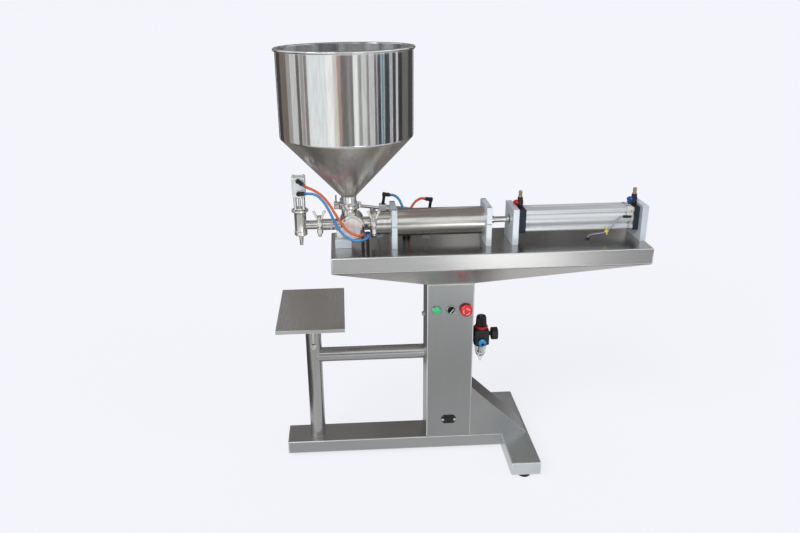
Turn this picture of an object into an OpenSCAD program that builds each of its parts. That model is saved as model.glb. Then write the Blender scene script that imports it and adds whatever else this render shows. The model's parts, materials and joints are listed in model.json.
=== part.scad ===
// Piston paste filling machine for a single nozzle, fed from a steel hopper.
// Origin: on the floor, under the middle of the whole machine. X runs along the
// table to the right, Y away from the operator and Z up.

/* [Base] */
// Height of the rubber feet
foot_h = 15; // [10:1:30]
// Diameter of the rubber feet
foot_d = 40; // [30:1:60]
// Width of the long base beam and depth of the column
beam_w = 112; // [90:1:140]
// Height of the base beam and of the cross foot
beam_h = 45; // [35:1:60]
// Reach of the base beam to the left of the column's middle
beam_reach = 548; // [520:1:600]
// Length of the cross foot, front to back
cross_l = 476; // [400:1:600]
// Width of the cross foot
cross_w = 96; // [80:1:120]
// Distance from the column's middle to the cross foot's middle
cross_offset = 230; // [200:1:260]
// Thickness of the frame's steel sheet
sheet = 2; // [1.5:0.1:3]
// Run of the sloping stiffener along the floor
gusset_run = 194; // [150:1:220]
// Rise of the sloping stiffener up the column
gusset_rise = 184; // [120:1:240]

/* [Column] */
// Width of the column
column_w = 152; // [130:1:190]
// Height of the column
column_h = 557; // [480:1:700]
// Width of the panel on the column's back
panel_w = 124; // [90:1:126]
// Height of the panel on the column's back
panel_h = 400; // [250:1:420]
// Depth of the push buttons under the column's top
button_drop = 89; // [60:1:150]
// Distance between the push buttons
button_pitch = 47.5; // [44:0.5:52]
// Height of the mains inlet over the beam
inlet_rise = 66; // [50:1:120]

/* [Table] */
// Length of the table tray
table_l = 985; // [970:1:1100]
// Depth of the table tray
table_w = 270; // [240:1:340]
// Height of the table tray's skirt
table_h = 51; // [35:1:70]
// Distance from the column's middle to the table's middle
table_offset = 117.5; // [110:0.5:125]
// Height of the sloping pan under the table
belly_h = 73; // [50:1:110]
// Thickness of the table's sheet
table_sheet = 3; // [2:0.1:4]

/* [Container platform] */
// Distance from the column's middle to the post
post_offset = 446; // [430:1:460]
// Outer diameter of the post
post_d = 51; // [45:0.5:60]
// Wall of the post and of the tube inside it
post_wall = 2.4; // [2:0.1:4]
// Height of the outer post over the beam
post_h = 410; // [380:1:420]
// Outer diameter of the tube that ties the post to the column
brace_d = 48; // [30:0.5:48]
// Height of that tube over the beam
brace_rise = 300; // [150:1:310]
// Reach of the inner post below its clamp bolt
inner_post_reach = 69; // [50:1:90]
// Height of the platform's top over the beam when it is lowest
platform_rise = 468; // [460:1:500]
// Width of the platform
tray_w = 212; // [180:1:250]
// Depth of the platform
tray_l = 350; // [280:1:400]
// Height of the platform's folded rim
tray_rim = 12; // [8:1:20]
// Thickness of the platform's sheet
tray_sheet = 2; // [1.5:0.1:3]
// Height range of the platform
platform_travel = 50; // [30:1:50]
// Diameter of the platform's clamp bolt
clamp_bolt_d = 8; // [6:1:10]

/* [Hopper] */
// Distance from the column's middle to the hopper's axis
hopper_offset = 315; // [300:1:330]
// Diameter of the hopper
hopper_d = 400; // [300:1:440]
// Height of the hopper's straight wall
hopper_h = 250; // [150:1:400]
// Height of the hopper's cone
cone_h = 185; // [150:1:240]
// Wall of the hopper
hopper_wall = 1.5; // [1.2:0.1:3]
// Diameter of the rolled rim's wire
rim_d = 9; // [6:0.5:12]
// Diameter of the hopper's neck
neck_d = 47; // [42:0.5:50]
// Height of the hopper's clamp over the product axis
neck_rise = 60; // [56:1:80]
// Height of the neck between the clamp and the cone
neck_l = 30; // [24:1:50]

/* [Product valve] */
// Height of the product axis over the table
axis_rise = 68; // [66:1:90]
// Distance from the hopper's axis to the valve's axis
valve_shift = 8; // [0:1:10]
// Diameter of the valve body
valve_d = 76; // [72:1:80]
// Length of the valve body, front to back
valve_l = 90; // [80:1:100]
// Diameter of the turning plug
plug_d = 54; // [48:1:60]
// Diameter of the passages through the plug
passage_d = 30; // [20:1:30]
// Distance from the valve's axis to the outlet clamp
outlet_reach = 100; // [90:1:104]
// Distance from the valve's axis to the cylinder clamp
inlet_reach = 66; // [64:1:70]
// Outer diameter of the outlet pipe
outlet_d = 35; // [30:0.5:40]
// Diameter of the plug's stem
stem_d = 18; // [12:0.5:20]
// Length of the lever from the stem to its pin
lever_l = 47; // [44:1:48]
// Slope of the valve's air cylinder
actuator_tilt = 8; // [0:0.5:9]
// Diameter of the valve's air cylinder
actuator_d = 25; // [20:0.5:26]
// Length of the valve's air cylinder
actuator_l = 175; // [160:1:190]
// Diameter of its rod
actuator_rod_d = 10; // [8:0.5:12]

/* [Filling valve] */
// Distance from the column's middle to the filling valve
fill_offset = 467; // [460:1:472]
// Diameter of the filling valve's body
fill_d = 37; // [34:0.5:42]
// Height of the filling valve's body
fill_h = 76; // [70:1:84]
// Depth of the body's foot under the product axis
fill_drop = 32; // [26:1:36]
// Side of the square air cylinder on top
fill_block_w = 41; // [38:0.5:46]
// Height of that air cylinder
fill_block_h = 60; // [52:1:70]
// Height of the open cage between the body and the air cylinder
cage_h = 42; // [38:1:50]
// Length of the nozzle
nozzle_l = 32; // [20:1:60]
// Diameter of the nozzle's tip
nozzle_d = 10; // [9:0.5:12]
// Lift of the shut-off plunger
fill_lift = 15; // [8:1:16]

/* [Product cylinder] */
// Bore of the product cylinder
bore_d = 80; // [74:1:82]
// Wall of the product cylinder
barrel_wall = 3.5; // [3:0.1:5]
// Stroke of the piston
stroke = 225; // [215:1:240]
// Length of the product piston
piston_l = 45; // [35:1:45]
// Diameter of the piston rod
rod_d = 18; // [14:0.5:20]
// Width of the cradle plates, front to back
plate_w = 120; // [116:1:140]
// Thickness of the cradle plates
cradle_t = 17; // [14:0.5:20]
// Height of the cradle plates over the product axis
cradle_rise = 54; // [52:1:60]

/* [Air cylinder] */
// Free length of rod between the product cylinder and the air cylinder's plate
rod_gap = 65; // [50:1:90]
// Thickness of the air cylinder's plates
plate_t = 19; // [16:0.5:22]
// Height of the air cylinder's plates over the product axis
plate_rise = 45; // [42:1:50]
// Side of the air cylinder's square heads
head_w = 75; // [72:0.5:80]
// Length of the front head
front_head_l = 27; // [24:0.5:30]
// Length of the rear head
rear_head_l = 17; // [16:0.5:20]
// Side of the aluminium profile tube
profile_w = 70; // [69:0.5:72]
// Length of the profile tube
profile_l = 340; // [300:1:360]
// Bore of the profile tube
air_bore_d = 63; // [60:0.5:63]

/* [Air service unit] */
// Distance from the column's side to the unit's axis
service_offset = 35; // [33:1:40]
// Height of the unit's body over the beam
service_rise = 322; // [300:1:360]
// Width of the unit's body
service_w = 50; // [44:1:52]
// Height of the unit's body
service_h = 54; // [48:1:60]
// Diameter of the bowl
bowl_d = 42; // [36:1:44]
// Height of the bowl
bowl_h = 48; // [40:1:60]
// Diameter of the setting knob
knob_d = 39; // [32:1:42]
// Diameter of the pressure gauge
gauge_d = 42; // [38:1:46]

/* [Hidden] */
$fn = 64;

// Clearances
over = 1;            // overrun of every cut
run_gap = 0.05;      // round fits that turn or slide
fit_gap = 0.3;       // other faces of parts that move past each other
seat_gap = 0.1;      // fixed parts pushed into each other

// Places along the machine
column_x = (post_offset + tray_w / 2 - table_offset - table_l / 2) / 2;
beam_top = foot_h + beam_h;
column_top = beam_top + column_h;
skirt_z = column_top + belly_h;
table_z = skirt_z + table_h;
axis_z = table_z + axis_rise;
neck_z = axis_z + neck_rise;
beam_left = column_x - beam_reach;
cross_x = column_x + cross_offset;
column_right = column_x + column_w / 2;
front_y = -beam_w / 2;
post_x = column_x - post_offset;
hopper_x = column_x - hopper_offset;
valve_x = hopper_x + valve_shift;
outlet_x = valve_x - outlet_reach;
inlet_x = valve_x + inlet_reach;
fill_x = column_x - fill_offset;

// Feet
foot_taper = 4;
foot_stud_r = 5;
foot_stud_l = 12;
foot_inset = 8;      // from the end of a beam to the edge of its foot
foot_places = [
  [beam_left + foot_inset + foot_d / 2, 0],
  [cross_x, cross_l / 2 - foot_inset - foot_d / 2],
  [cross_x, -(cross_l / 2 - foot_inset - foot_d / 2)]
];

// Column openings and panel
panel_t = 2;
panel_lap = 8;
panel_bottom = beam_top + 100;
panel_hole_r = 11.15;
button_shift = 2;
button_z = column_top - button_drop;
button_xs = [for (i = [-1 : 1]) column_x + button_shift + i * button_pitch];
inlet_z = beam_top + inlet_rise;

// Screws
pan_head_r = 5;
pan_head_h = 3;
pan_shank_r = 2;
pan_shank_l = 8;
plug_head_r = 8;
plug_head_h = 8;
plug_y = 30;
plug_drop = 45;      // below the push buttons
cradle_screw_r = 4;
cradle_head_r = 6.5;
cradle_head_h = 8;
cradle_screw_inset = 9;

// Platform
inner_post_r = post_d / 2 - post_wall - fit_gap;
slot_w = clamp_bolt_d + 2 * fit_gap;
slot_bottom = beam_top + brace_rise + brace_d / 2 + 12;
clamp_bolt_z = slot_bottom + clamp_bolt_d / 2 + fit_gap;
clamp_head_h = 6;
clamp_head_r = 7.5;
clamp_washer_r = 8.5;
clamp_washer_h = 1.6;
clamp_nut_w = 14;
clamp_nut_l = 12;
carrier_w = 110;
carrier_t = 5;
platform_z = beam_top + platform_rise;
carrier_z = platform_z - tray_sheet - carrier_t;
inner_post_l = carrier_z - clamp_bolt_z + inner_post_reach;

// Hopper and clamps
cone_z = neck_z + neck_l;
wall_z = cone_z + cone_h;
ferrule_t = 2.5;
ferrule_taper = 3;
neck_wall = 2.5;
hopper_ferrule_r = 28;
outlet_ferrule_r = 23.5;
inlet_ferrule_r = 41;
clamp_wall = 5.5;
clamp_w = 18;
clamp_groove = 2 * ferrule_t + 2 * fit_gap;
clamp_lip = 2;       // how far the clamp's lips reach inside the flange
clamp_gap = 6;
lug_h = 20;
lug_w = 13;
lug_reach = 13;
lug_sink = 3;
hinge_r = 5;
clamp_screw_r = 3.5;
clamp_ball_r = 6;
wing_hub_r = 7;
wing_hub_h = 12;
wing_span = 18;
wing_h = 36;
wing_t = 4;
wing_root_share = 0.35;
clamp_places = [
  [[hopper_x, 0, neck_z], [0, 0, 180], hopper_ferrule_r],
  [[outlet_x, 0, axis_z], [-90, 0, -90], outlet_ferrule_r],
  [[inlet_x, 0, axis_z], [-90, 0, -90], inlet_ferrule_r]
];

// Product valve
valve_port_d = 42;
valve_port_bore = 26;
outlet_wall = 4;
valve_pad_l = 40;
valve_pad_w = 50;
valve_pad_shift = 29;
block_l = 51;
block_w = 80;
block_h = 27;
cap_d = 62;
front_cap_t = 12;
rear_cap_t = 8;
plug_l = valve_l - 2 * fit_gap;
plug_side_d = passage_d - 4;

// Lever and actuator, seen in a frame that tilts with the actuator
actuator_y = plate_w / 2 + 15;
actuator_rise = 40;
actuator_start = 83;
actuator_cap_w = 28;
actuator_cap_l = 24;
actuator_wall = 2;
actuator_piston_l = 12;
lever_sweep = 90;
lever_t = 8;
lever_w = 16;
lever_hub_r = 14;
lever_pin_r = 4;
fork_gap = 0.5;
fork_t = 5;
fork_drift_share = 0.032;   // how far the pin strays from a steady pace, per lever length
fork_slot_w = 2 * lever_pin_r + 2 * fork_drift_share * lever_l + 2 * fit_gap;
fork_pin_low = lever_l * cos(lever_sweep / 2);
fork_slot_h = lever_l - fork_pin_low + 2 * lever_pin_r + 4 * fit_gap;
fork_rim = 5;
fork_block = 8;
fork_block_drop = 6;
fork_back = fork_slot_w / 2 + fork_rim + 2;
lever_reach = lever_l * sin(lever_sweep / 2);
stem_end = actuator_y + lever_t / 2 + 5;
stem_nut_r = 12;
bracket_t = 8;
bracket_foot_l = 26;
bracket_foot_t = 5;
bracket_foot_w = 24;
bracket_w = 26;

// Filling valve
fill_base_z = axis_z - fill_drop;
fill_top_z = fill_base_z + fill_h;
fill_bore = 28;
fill_foot_d = 40;
fill_foot_h = 15;
fill_collar_d = 52;
fill_collar_h = 8;
fill_roof = 8;
fill_pipe_d = 28;
fill_pipe_bore = 20;
cage_w = 36;
cage_window = 22;
cage_post = 5;
cage_z = fill_top_z + fill_collar_h;
fill_block_z = cage_z + cage_h;
fill_block_floor = 8;
fill_piston_r = 15;
fill_piston_h = 12;
fill_stem_r = 4;
fill_seal_r = 8;
fill_seal_h = 8;
nozzle_bore = 7;
nozzle_root_d = 14;
seat_d = 10;
groove_w = 5;
groove_t = 2;

// Product cylinder
inlet_pipe_l = 55;
inlet_pipe_d = 74;
inlet_pipe_bore = 62;
head_t = 12;
head_bore = 52;
gland_t = 14;
gland_boss_r = 11;
gland_boss_l = 18;
barrel_r = bore_d / 2 + barrel_wall;
parting = 1.5;
piston_start = 1;    // rest gap between piston and inlet head
piston_spare = 12;   // room left behind the piston at the end of its stroke
piston_skirt = 0.5;
seal_w = 5;
barrel_x = inlet_x + inlet_pipe_l;
piston_x = barrel_x + head_t + piston_start;
barrel_l = head_t + piston_start + piston_l + stroke + piston_spare + gland_t;
barrel_end = barrel_x + barrel_l;
rear_cradle_x = barrel_end - cradle_t;

// Air cylinder
front_plate_x = barrel_end + rod_gap;
front_head_x = front_plate_x + plate_t;
profile_x = front_head_x + front_head_l;
rear_head_x = profile_x + profile_l;
rear_plate_x = rear_head_x + rear_head_l;
plate_hole_r = 17;
head_corner = 6;
head_boss_r = 16;
head_boss_l = 12;
profile_corner = 8;
rib_groove_w = 5;
rib_groove_t = 2;
rib_groove_inset = 15;
air_piston_l = 30;
air_piston_start = 3;
control_stem_r = 5;
control_stem_l = 4;
control_body_r = 8;
control_body_h = 28;
control_arm_r = 6.5;
control_arm_l = 17;
control_arm_rise = 12;
flow_screw_r = 5;
flow_screw_l = 21;
flow_nut_r = 6.5;
flow_nut_h = 5;
flow_slot = 1.2;
control_z = axis_z + head_w / 2;
control_xs = [front_head_x + front_head_l / 2, rear_head_x + rear_head_l / 2];

// Reed switch
strap_t = 1;
strap_w = 9;
strap_inset = 14;    // from the tube's rear end
reed_l = 28;
reed_lead = 6;       // how far it reaches past the strap's middle
reed_h = 10;
reed_t = 8;
reed_rise = 8;

// Push-in fittings: a stem, an arm that leaves it and a coloured release ring
fitting_r = 6.5;
fitting_stem_r = 5.5;
ring_r = 5.5;
ring_l = 4;
tube_d = 8;
cable_d = 4;
tube_sides = 10;
cable_sides = 8;

// Air service unit
service_x = column_right + service_offset;
service_z = beam_top + service_rise;
service_corner = 6;
collar_r = 21;
collar_h = 10;
knob_h = 36;
knob_neck = 1;
bowl_tip_r = 6;
bowl_tip_h = 17;
bowl_wall = 3;
gauge_rise = 33;
gauge_stem_r = 6;
gauge_stem_l = 8;
gauge_t = 22;
gauge_rim = 2.5;
gauge_recess = 5;
needle_w = 1.6;
needle_t = 1;
needle_hub_r = 3;
needle_tail = 5;
needle_lift = 1;
service_arm_t = 3;
service_arm_w = 40;
service_flange_h = 44;
service_port_rise = 13;

// Push buttons
bezel_d = 29.5;
bezel_bore = 24;
bezel_t = 3.5;
bezel_tube_r = 11;
bezel_tube_bore = 14;
bezel_tube_l = 20;
push_travel = 3;
push_cap_t = 5;
push_stem_l = 16;
stop_travel = 4;
stop_d = 40;
stop_head_t = 12;
selector_t = 4;
selector_bar_t = 9;
selector_bar_w = 8;
selector_turn = 40;

// Mains inlet
inlet_w = 50;
inlet_h = 30;
inlet_t = 3.5;
inlet_corner = 9;
inlet_body_w = 29;
inlet_body_h = 22;
inlet_body_l = 26;
inlet_recess_w = 25;
inlet_recess_h = 17;
inlet_recess_l = 17;
inlet_pin_w = 4;
inlet_pin_t = 2;
inlet_pin_l = 14;
inlet_pin_pitch = 7;
inlet_screw_pitch = 40;

// Push-in fittings and their places: [base, turn, stem length, turn of the arm]
fitting_arm = 16;
fill_port_stem = 10.5;
fill_port_high = 52;
fill_port_low = 13;
fill_port_slope = atan2(3, 4);
table_port_y = -64;
orange_port_shift = 31;
blue_port_shift = 46;
orange_port_h = 59;
blue_port_h = 53;
actuator_port_stem = 32;
fill_ports = [
  [[fill_x, -fill_block_w / 2, fill_block_z + fill_port_high], [90, 0, 0], fill_port_stem, -fill_port_slope],
  [[fill_x, -fill_block_w / 2, fill_block_z + fill_port_low], [90, 0, 0], fill_port_stem, 0]
];
table_ports = [
  [[valve_x + orange_port_shift, table_port_y, table_z], [0, 0, 0], orange_port_h, -90],
  [[valve_x + blue_port_shift, table_port_y, table_z], [0, 0, 0], blue_port_h, -90]
];
actuator_port_z = actuator_rise + actuator_cap_w / 2;
actuator_ports = [
  [[actuator_start + actuator_cap_l / 2, actuator_y, actuator_port_z], [0, 0, 0], actuator_port_stem, 0],
  [[actuator_start + actuator_l - actuator_cap_l / 2, actuator_y, actuator_port_z],
    [0, 0, 0], actuator_port_stem, 180]
];

// Straight fittings: [base, turn, length]
straight_l = 8;
cable_gland_r = 4.5;
cable_gland_h = 4;
rear_port_y = 56;
rear_port_xs = [column_x - 139, column_x - 125];
straight_ports = [for (x = rear_port_xs) [[x, rear_port_y, table_z], [0, 0, 0], straight_l]];
service_port = [[service_x, -service_w / 2, service_z + service_port_rise], [90, 0, 0], fitting_arm];
port_bore_r = tube_d / 2 + seat_gap;
port_depth = 12;

// Routes of the air tubes and of the switch cable, from fitting to fitting. Their x is measured
// from the column's middle.
function from_column(points) = [for (p = points) [column_x + p[0], p[1], p[2]]];
function on_slide(p) = [
  valve_x + p[0] * cos(actuator_tilt) + p[2] * sin(actuator_tilt), p[1],
  axis_z - p[0] * sin(actuator_tilt) + p[2] * cos(actuator_tilt)
];
port_reach = fitting_arm + ring_l;
port_straight = 10;
front_port_x = actuator_ports[0][0][0];
rear_port_x = actuator_ports[1][0][0];
port_line_z = actuator_port_z + actuator_port_stem;
orange_fill_route = from_column([
  [-451, -31, 943], [-443, -31, 937], [-419, -38, 927], [-395, -50, 912], [-373, -60, 886],
  [-355, -68, 856], [-337, -76, 830], [-319, -88, 810], [-297, -98, 801], [-282, -100, 800],
  [-276, -94, 800], [-276, -84, 800]
]);
blue_fill_route = from_column([
  [-447, -31, 916], [-437, -31, 916], [-417, -38, 914], [-395, -52, 899], [-377, -62, 872],
  [-362, -68, 840], [-345, -76, 810], [-324, -90, 792], [-299, -102, 785], [-277, -106, 787],
  [-263, -102, 793], [-261, -94, 794], [-261, -84, 794]
]);
blue_valve_route = concat(
  [for (s = [0, port_straight]) on_slide([front_port_x + port_reach + s, actuator_y, port_line_z])],
  from_column([
    [-159, 73, 869], [-148, 64, 852], [-141, 57, 828], [-139, 56, 795], [-139, 56, 763], [-139, 56, 753]
  ])
);
orange_valve_route = concat(
  [for (s = [0, port_straight]) on_slide([rear_port_x - port_reach - s, actuator_y, port_line_z])],
  from_column([
    [-93, 74, 860], [-109, 66, 848], [-121, 57, 826], [-125, 56, 795], [-125, 56, 763], [-125, 56, 753]
  ])
);
cable_route = from_column([
  [538, -39, 817], [533, -39, 817], [525, -40, 810], [513, -41, 797], [501, -41, 782], [490, -40, 771],
  [475, -38, 765], [459, -34, 762], [447, -27, 757], [440, -21, 752], [439, -20, 749], [439, -20, 745]
]);
cable_end = cable_route[len(cable_route) - 1];

// Sweeps a round tube along a route, its rings carried on without twist
function unit(v) = v / norm(v);
function heading(p, i) =
  i == 0 ? unit(p[1] - p[0])
  : i == len(p) - 1 ? unit(p[i] - p[i - 1])
  : unit(unit(p[i + 1] - p[i]) + unit(p[i] - p[i - 1]));
function square_to(v, t) = unit(v - (v * t) * t);
function ring_side(p, i) =
  i == 0 ? square_to(abs(heading(p, 0)[2]) > 0.9 ? [1, 0, 0] : [0, 0, 1], heading(p, 0))
  : square_to(ring_side(p, i - 1), heading(p, i));
function tube_ring(p, i, r, n) =
  let (t = heading(p, i), u = ring_side(p, i), w = cross(t, u))
  [for (k = [0 : n - 1]) p[i] + r * (cos(360 * k / n) * u + sin(360 * k / n) * w)];

module swept_tube(p, d, n) {
  rings = len(p);
  points = [for (i = [0 : rings - 1]) each tube_ring(p, i, d / 2, n)];
  walls = [
    for (i = [0 : rings - 2], k = [0 : n - 1])
    let (a = i * n + k, b = i * n + (k + 1) % n)
    each [[a, a + n, b + n], [a, b + n, b]]
  ];
  first_end = [[for (k = [0 : n - 1]) k]];
  last_end = [[for (k = [n - 1 : -1 : 0]) (rings - 1) * n + k]];
  polyhedron(points = points, faces = concat(walls, first_end, last_end));
}

// Shared shapes
module along_x(at) { translate(at) rotate([0, 90, 0]) children(); }
module along_y(at) { translate(at) rotate([-90, 0, 0]) children(); }
module to_front(at) { translate(at) rotate([90, 0, 0]) children(); }
module block(from, to) { translate(from) cube(to - from); }
module slide_frame() { translate([valve_x, 0, axis_z]) rotate([0, actuator_tilt, 0]) children(); }

module rounded_square(w, h, r) {
  square([w - 2 * r, h], center = true);
  square([w, h - 2 * r], center = true);
  for (x = [-1, 1], y = [-1, 1]) translate([x * (w / 2 - r), y * (h / 2 - r)]) circle(r);
}

// A pipe's flange with its face at z = 0 and the pipe going up
module ferrule(flange_r, pipe_r) {
  cylinder(r = flange_r, h = ferrule_t);
  translate([0, 0, ferrule_t]) cylinder(r1 = flange_r - ferrule_taper, r2 = pipe_r, h = ferrule_taper);
}

// Base
module rubber_feet() {
  color([0.1, 0.1, 0.1])
    for (p = foot_places) translate([p[0], p[1], 0]) {
      cylinder(d1 = foot_d, d2 = foot_d - foot_taper, h = foot_h);
      translate([0, 0, foot_h]) cylinder(r = foot_stud_r, h = foot_stud_l);
    }
}

module foot_holes() {
  for (p = foot_places)
    translate([p[0], p[1], foot_h - over]) cylinder(r = foot_stud_r + seat_gap, h = sheet + 2 * over);
}

module base_beam() {
  end_x = cross_x - cross_w / 2;
  color([0.74, 0.75, 0.76])
    difference() {
      block([beam_left, -beam_w / 2, foot_h], [end_x, beam_w / 2, beam_top]);
      block([beam_left + sheet, sheet - beam_w / 2, foot_h + sheet],
        [end_x + over, beam_w / 2 - sheet, beam_top - sheet]);
      foot_holes();
    }
}

module cross_foot() {
  left = cross_x - cross_w / 2;
  right = cross_x + cross_w / 2;
  color([0.74, 0.75, 0.76])
    difference() {
      block([left, -cross_l / 2, foot_h], [right, cross_l / 2, beam_top]);
      block([left + sheet, sheet - cross_l / 2, foot_h + sheet],
        [right - sheet, cross_l / 2 - sheet, beam_top - sheet]);
      foot_holes();
    }
}

module gusset_box() {
  slant = norm([gusset_run, gusset_rise]);
  run_in = gusset_run - sheet * slant / gusset_rise;
  rise_in = gusset_rise - sheet * slant / gusset_run;
  color([0.76, 0.77, 0.78])
    translate([column_right, 0, beam_top]) rotate([90, 0, 0])
      difference() {
        linear_extrude(beam_w, center = true)
          polygon([[0, 0], [gusset_run, 0], [0, gusset_rise]]);
        linear_extrude(beam_w - 2 * sheet, center = true)
          polygon([[-over, -over], [run_in * (1 + over / rise_in), -over],
            [-over, rise_in * (1 + over / run_in)]]);
      }
}

// Column
module column_shell() {
  half = column_w / 2;
  color([0.77, 0.78, 0.79])
    difference() {
      block([column_x - half, -beam_w / 2, beam_top], [column_x + half, beam_w / 2, column_top]);
      block([column_x - half + sheet, sheet - beam_w / 2, beam_top - over],
        [column_x + half - sheet, beam_w / 2 - sheet, column_top + over]);
      for (x = button_xs)
        to_front([x, front_y + sheet + over, button_z]) cylinder(r = panel_hole_r, h = sheet + 2 * over);
      block([column_x - inlet_body_w / 2 - seat_gap, front_y - over, inlet_z - inlet_body_h / 2 - seat_gap],
        [column_x + inlet_body_w / 2 + seat_gap, front_y + sheet + over,
          inlet_z + inlet_body_h / 2 + seat_gap]);
      block([column_x - panel_w / 2 + panel_lap, beam_w / 2 - sheet - over, panel_bottom + panel_lap],
        [column_x + panel_w / 2 - panel_lap, beam_w / 2 + over, panel_bottom + panel_h - panel_lap]);
      screw_shanks(seat_gap);
    }
}

module rear_panel() {
  color([0.75, 0.76, 0.77])
    difference() {
      block([column_x - panel_w / 2, beam_w / 2, panel_bottom],
        [column_x + panel_w / 2, beam_w / 2 + panel_t, panel_bottom + panel_h]);
      screw_shanks(seat_gap);
    }
}

// Screw places: [head's seat, turn]
panel_screw_xs = [for (s = [-1, 1]) column_x + s * (panel_w - panel_lap) / 2];
panel_screw_zs = [for (i = [0 : 2]) panel_bottom + panel_lap / 2 + i * (panel_h - panel_lap) / 2];
screw_places = concat(
  [for (x = panel_screw_xs, z = panel_screw_zs) [[x, beam_w / 2 + panel_t, z], [-90, 0, 0]]],
  [for (s = [-1, 1]) [[column_x + s * inlet_screw_pitch / 2, front_y - inlet_t, inlet_z], [90, 0, 0]]],
  [for (s = [-1, 1]) [[column_right + service_arm_t, s * service_arm_w / 4,
    service_z + service_h - service_flange_h * 2 / 3], [0, 90, 0]]]
);

module screw_shanks(gap) {
  for (p = screw_places)
    translate(p[0]) rotate(p[1]) translate([0, 0, -pan_shank_l])
      cylinder(r = pan_shank_r + gap, h = pan_shank_l);
}

cradle_xs = [barrel_x + cradle_t / 2, rear_cradle_x + cradle_t / 2];
cradle_screw_y = plate_w / 2 - cradle_screw_inset;

module screws() {
  color([0.85, 0.85, 0.83]) {
    screw_shanks(0);
    for (p = screw_places) translate(p[0]) rotate(p[1]) cylinder(r = pan_head_r, h = pan_head_h);
    translate([column_x - column_w / 2, plug_y, button_z - plug_drop]) rotate([0, -90, 0])
      cylinder(r = plug_head_r, h = plug_head_h, $fn = 6);
    for (x = cradle_xs, s = [-1, 1]) translate([x, s * cradle_screw_y, 0]) {
      translate([0, 0, table_z])
        cylinder(r = cradle_screw_r, h = axis_rise + cradle_rise - cradle_head_h);
      translate([0, 0, axis_z + cradle_rise - cradle_head_h])
        difference() {
          cylinder(r = cradle_head_r, h = cradle_head_h);
          translate([0, 0, cradle_head_h / 2]) cylinder(r = cradle_head_r / 2, h = cradle_head_h, $fn = 6);
        }
    }
  }
}

// Table
table_left = column_x + table_offset - table_l / 2;
table_right = column_x + table_offset + table_l / 2;

module table_tray() {
  color([0.72, 0.72, 0.71])
    difference() {
      block([table_left, -table_w / 2, skirt_z], [table_right, table_w / 2, table_z]);
      block([table_left + table_sheet, table_sheet - table_w / 2, skirt_z - over],
        [table_right - table_sheet, table_w / 2 - table_sheet, table_z - table_sheet]);
    }
}

module pan_solid() {
  intersection() {
    rotate([90, 0, 0]) linear_extrude(table_w + 2 * over, center = true)
      polygon([[column_x - column_w / 2, column_top], [column_right, column_top],
        [table_right, skirt_z], [table_left, skirt_z]]);
    translate([table_left - over, 0, 0]) rotate([90, 0, 90]) linear_extrude(table_l + 2 * over)
      polygon([[-beam_w / 2, column_top], [beam_w / 2, column_top],
        [table_w / 2, skirt_z], [-table_w / 2, skirt_z]]);
  }
}

module table_belly() {
  half = column_w / 2;
  color([0.66, 0.66, 0.66])
    difference() {
      pan_solid();
      translate([0, 0, table_sheet]) pan_solid();
      block([column_x - half + sheet, sheet - beam_w / 2, column_top - over],
        [column_x + half - sheet, beam_w / 2 - sheet, column_top + table_sheet + over]);
    }
}

// Container platform
module post_slot(from_y) {
  to_front([post_x, from_y, clamp_bolt_z]) cylinder(d = slot_w, h = post_d);
  to_front([post_x, from_y, clamp_bolt_z + platform_travel]) cylinder(d = slot_w, h = post_d);
  block([post_x - slot_w / 2, from_y - post_d, clamp_bolt_z],
    [post_x + slot_w / 2, from_y, clamp_bolt_z + platform_travel]);
}

module outer_post() {
  z = beam_top + brace_rise;
  end_x = column_x - column_w / 2;
  color([0.73, 0.74, 0.75])
    difference() {
      union() {
        translate([post_x, 0, beam_top]) cylinder(d = post_d, h = post_h);
        along_x([post_x, 0, z]) cylinder(d = brace_d, h = end_x - post_x);
      }
      translate([post_x, 0, beam_top - over]) cylinder(r = post_d / 2 - post_wall, h = post_h + 2 * over);
      along_x([post_x + post_d / 2, 0, z]) cylinder(r = brace_d / 2 - post_wall, h = end_x - post_x);
      post_slot(0);
    }
}

module inner_post() {
  color([0.7, 0.71, 0.72])
    difference() {
      union() {
        difference() {
          translate([post_x, 0, carrier_z - inner_post_l]) cylinder(r = inner_post_r, h = inner_post_l);
          translate([post_x, 0, carrier_z - inner_post_l - over])
            cylinder(r = inner_post_r - post_wall, h = inner_post_l + over);
        }
        intersection() {
          translate([post_x, 0, clamp_bolt_z - clamp_nut_w]) cylinder(r = inner_post_r, h = 2 * clamp_nut_w);
          block([post_x - clamp_nut_w / 2, -inner_post_r, clamp_bolt_z - clamp_nut_w / 2],
            [post_x + clamp_nut_w / 2, clamp_nut_l - inner_post_r, clamp_bolt_z + clamp_nut_w / 2]);
        }
        block([post_x - carrier_w / 2, -carrier_w / 2, carrier_z],
          [post_x + carrier_w / 2, carrier_w / 2, carrier_z + carrier_t]);
      }
      to_front([post_x, over, clamp_bolt_z]) cylinder(r = clamp_bolt_d / 2 + run_gap, h = post_d);
    }
}

module platform_tray() {
  z = platform_z - tray_rim;
  color([0.78, 0.79, 0.8])
    difference() {
      block([post_x - tray_w / 2, -tray_l / 2, z], [post_x + tray_w / 2, tray_l / 2, platform_z]);
      block([post_x - tray_w / 2 + tray_sheet, tray_sheet - tray_l / 2, z - over],
        [post_x + tray_w / 2 - tray_sheet, tray_l / 2 - tray_sheet, platform_z - tray_sheet]);
    }
}

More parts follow.
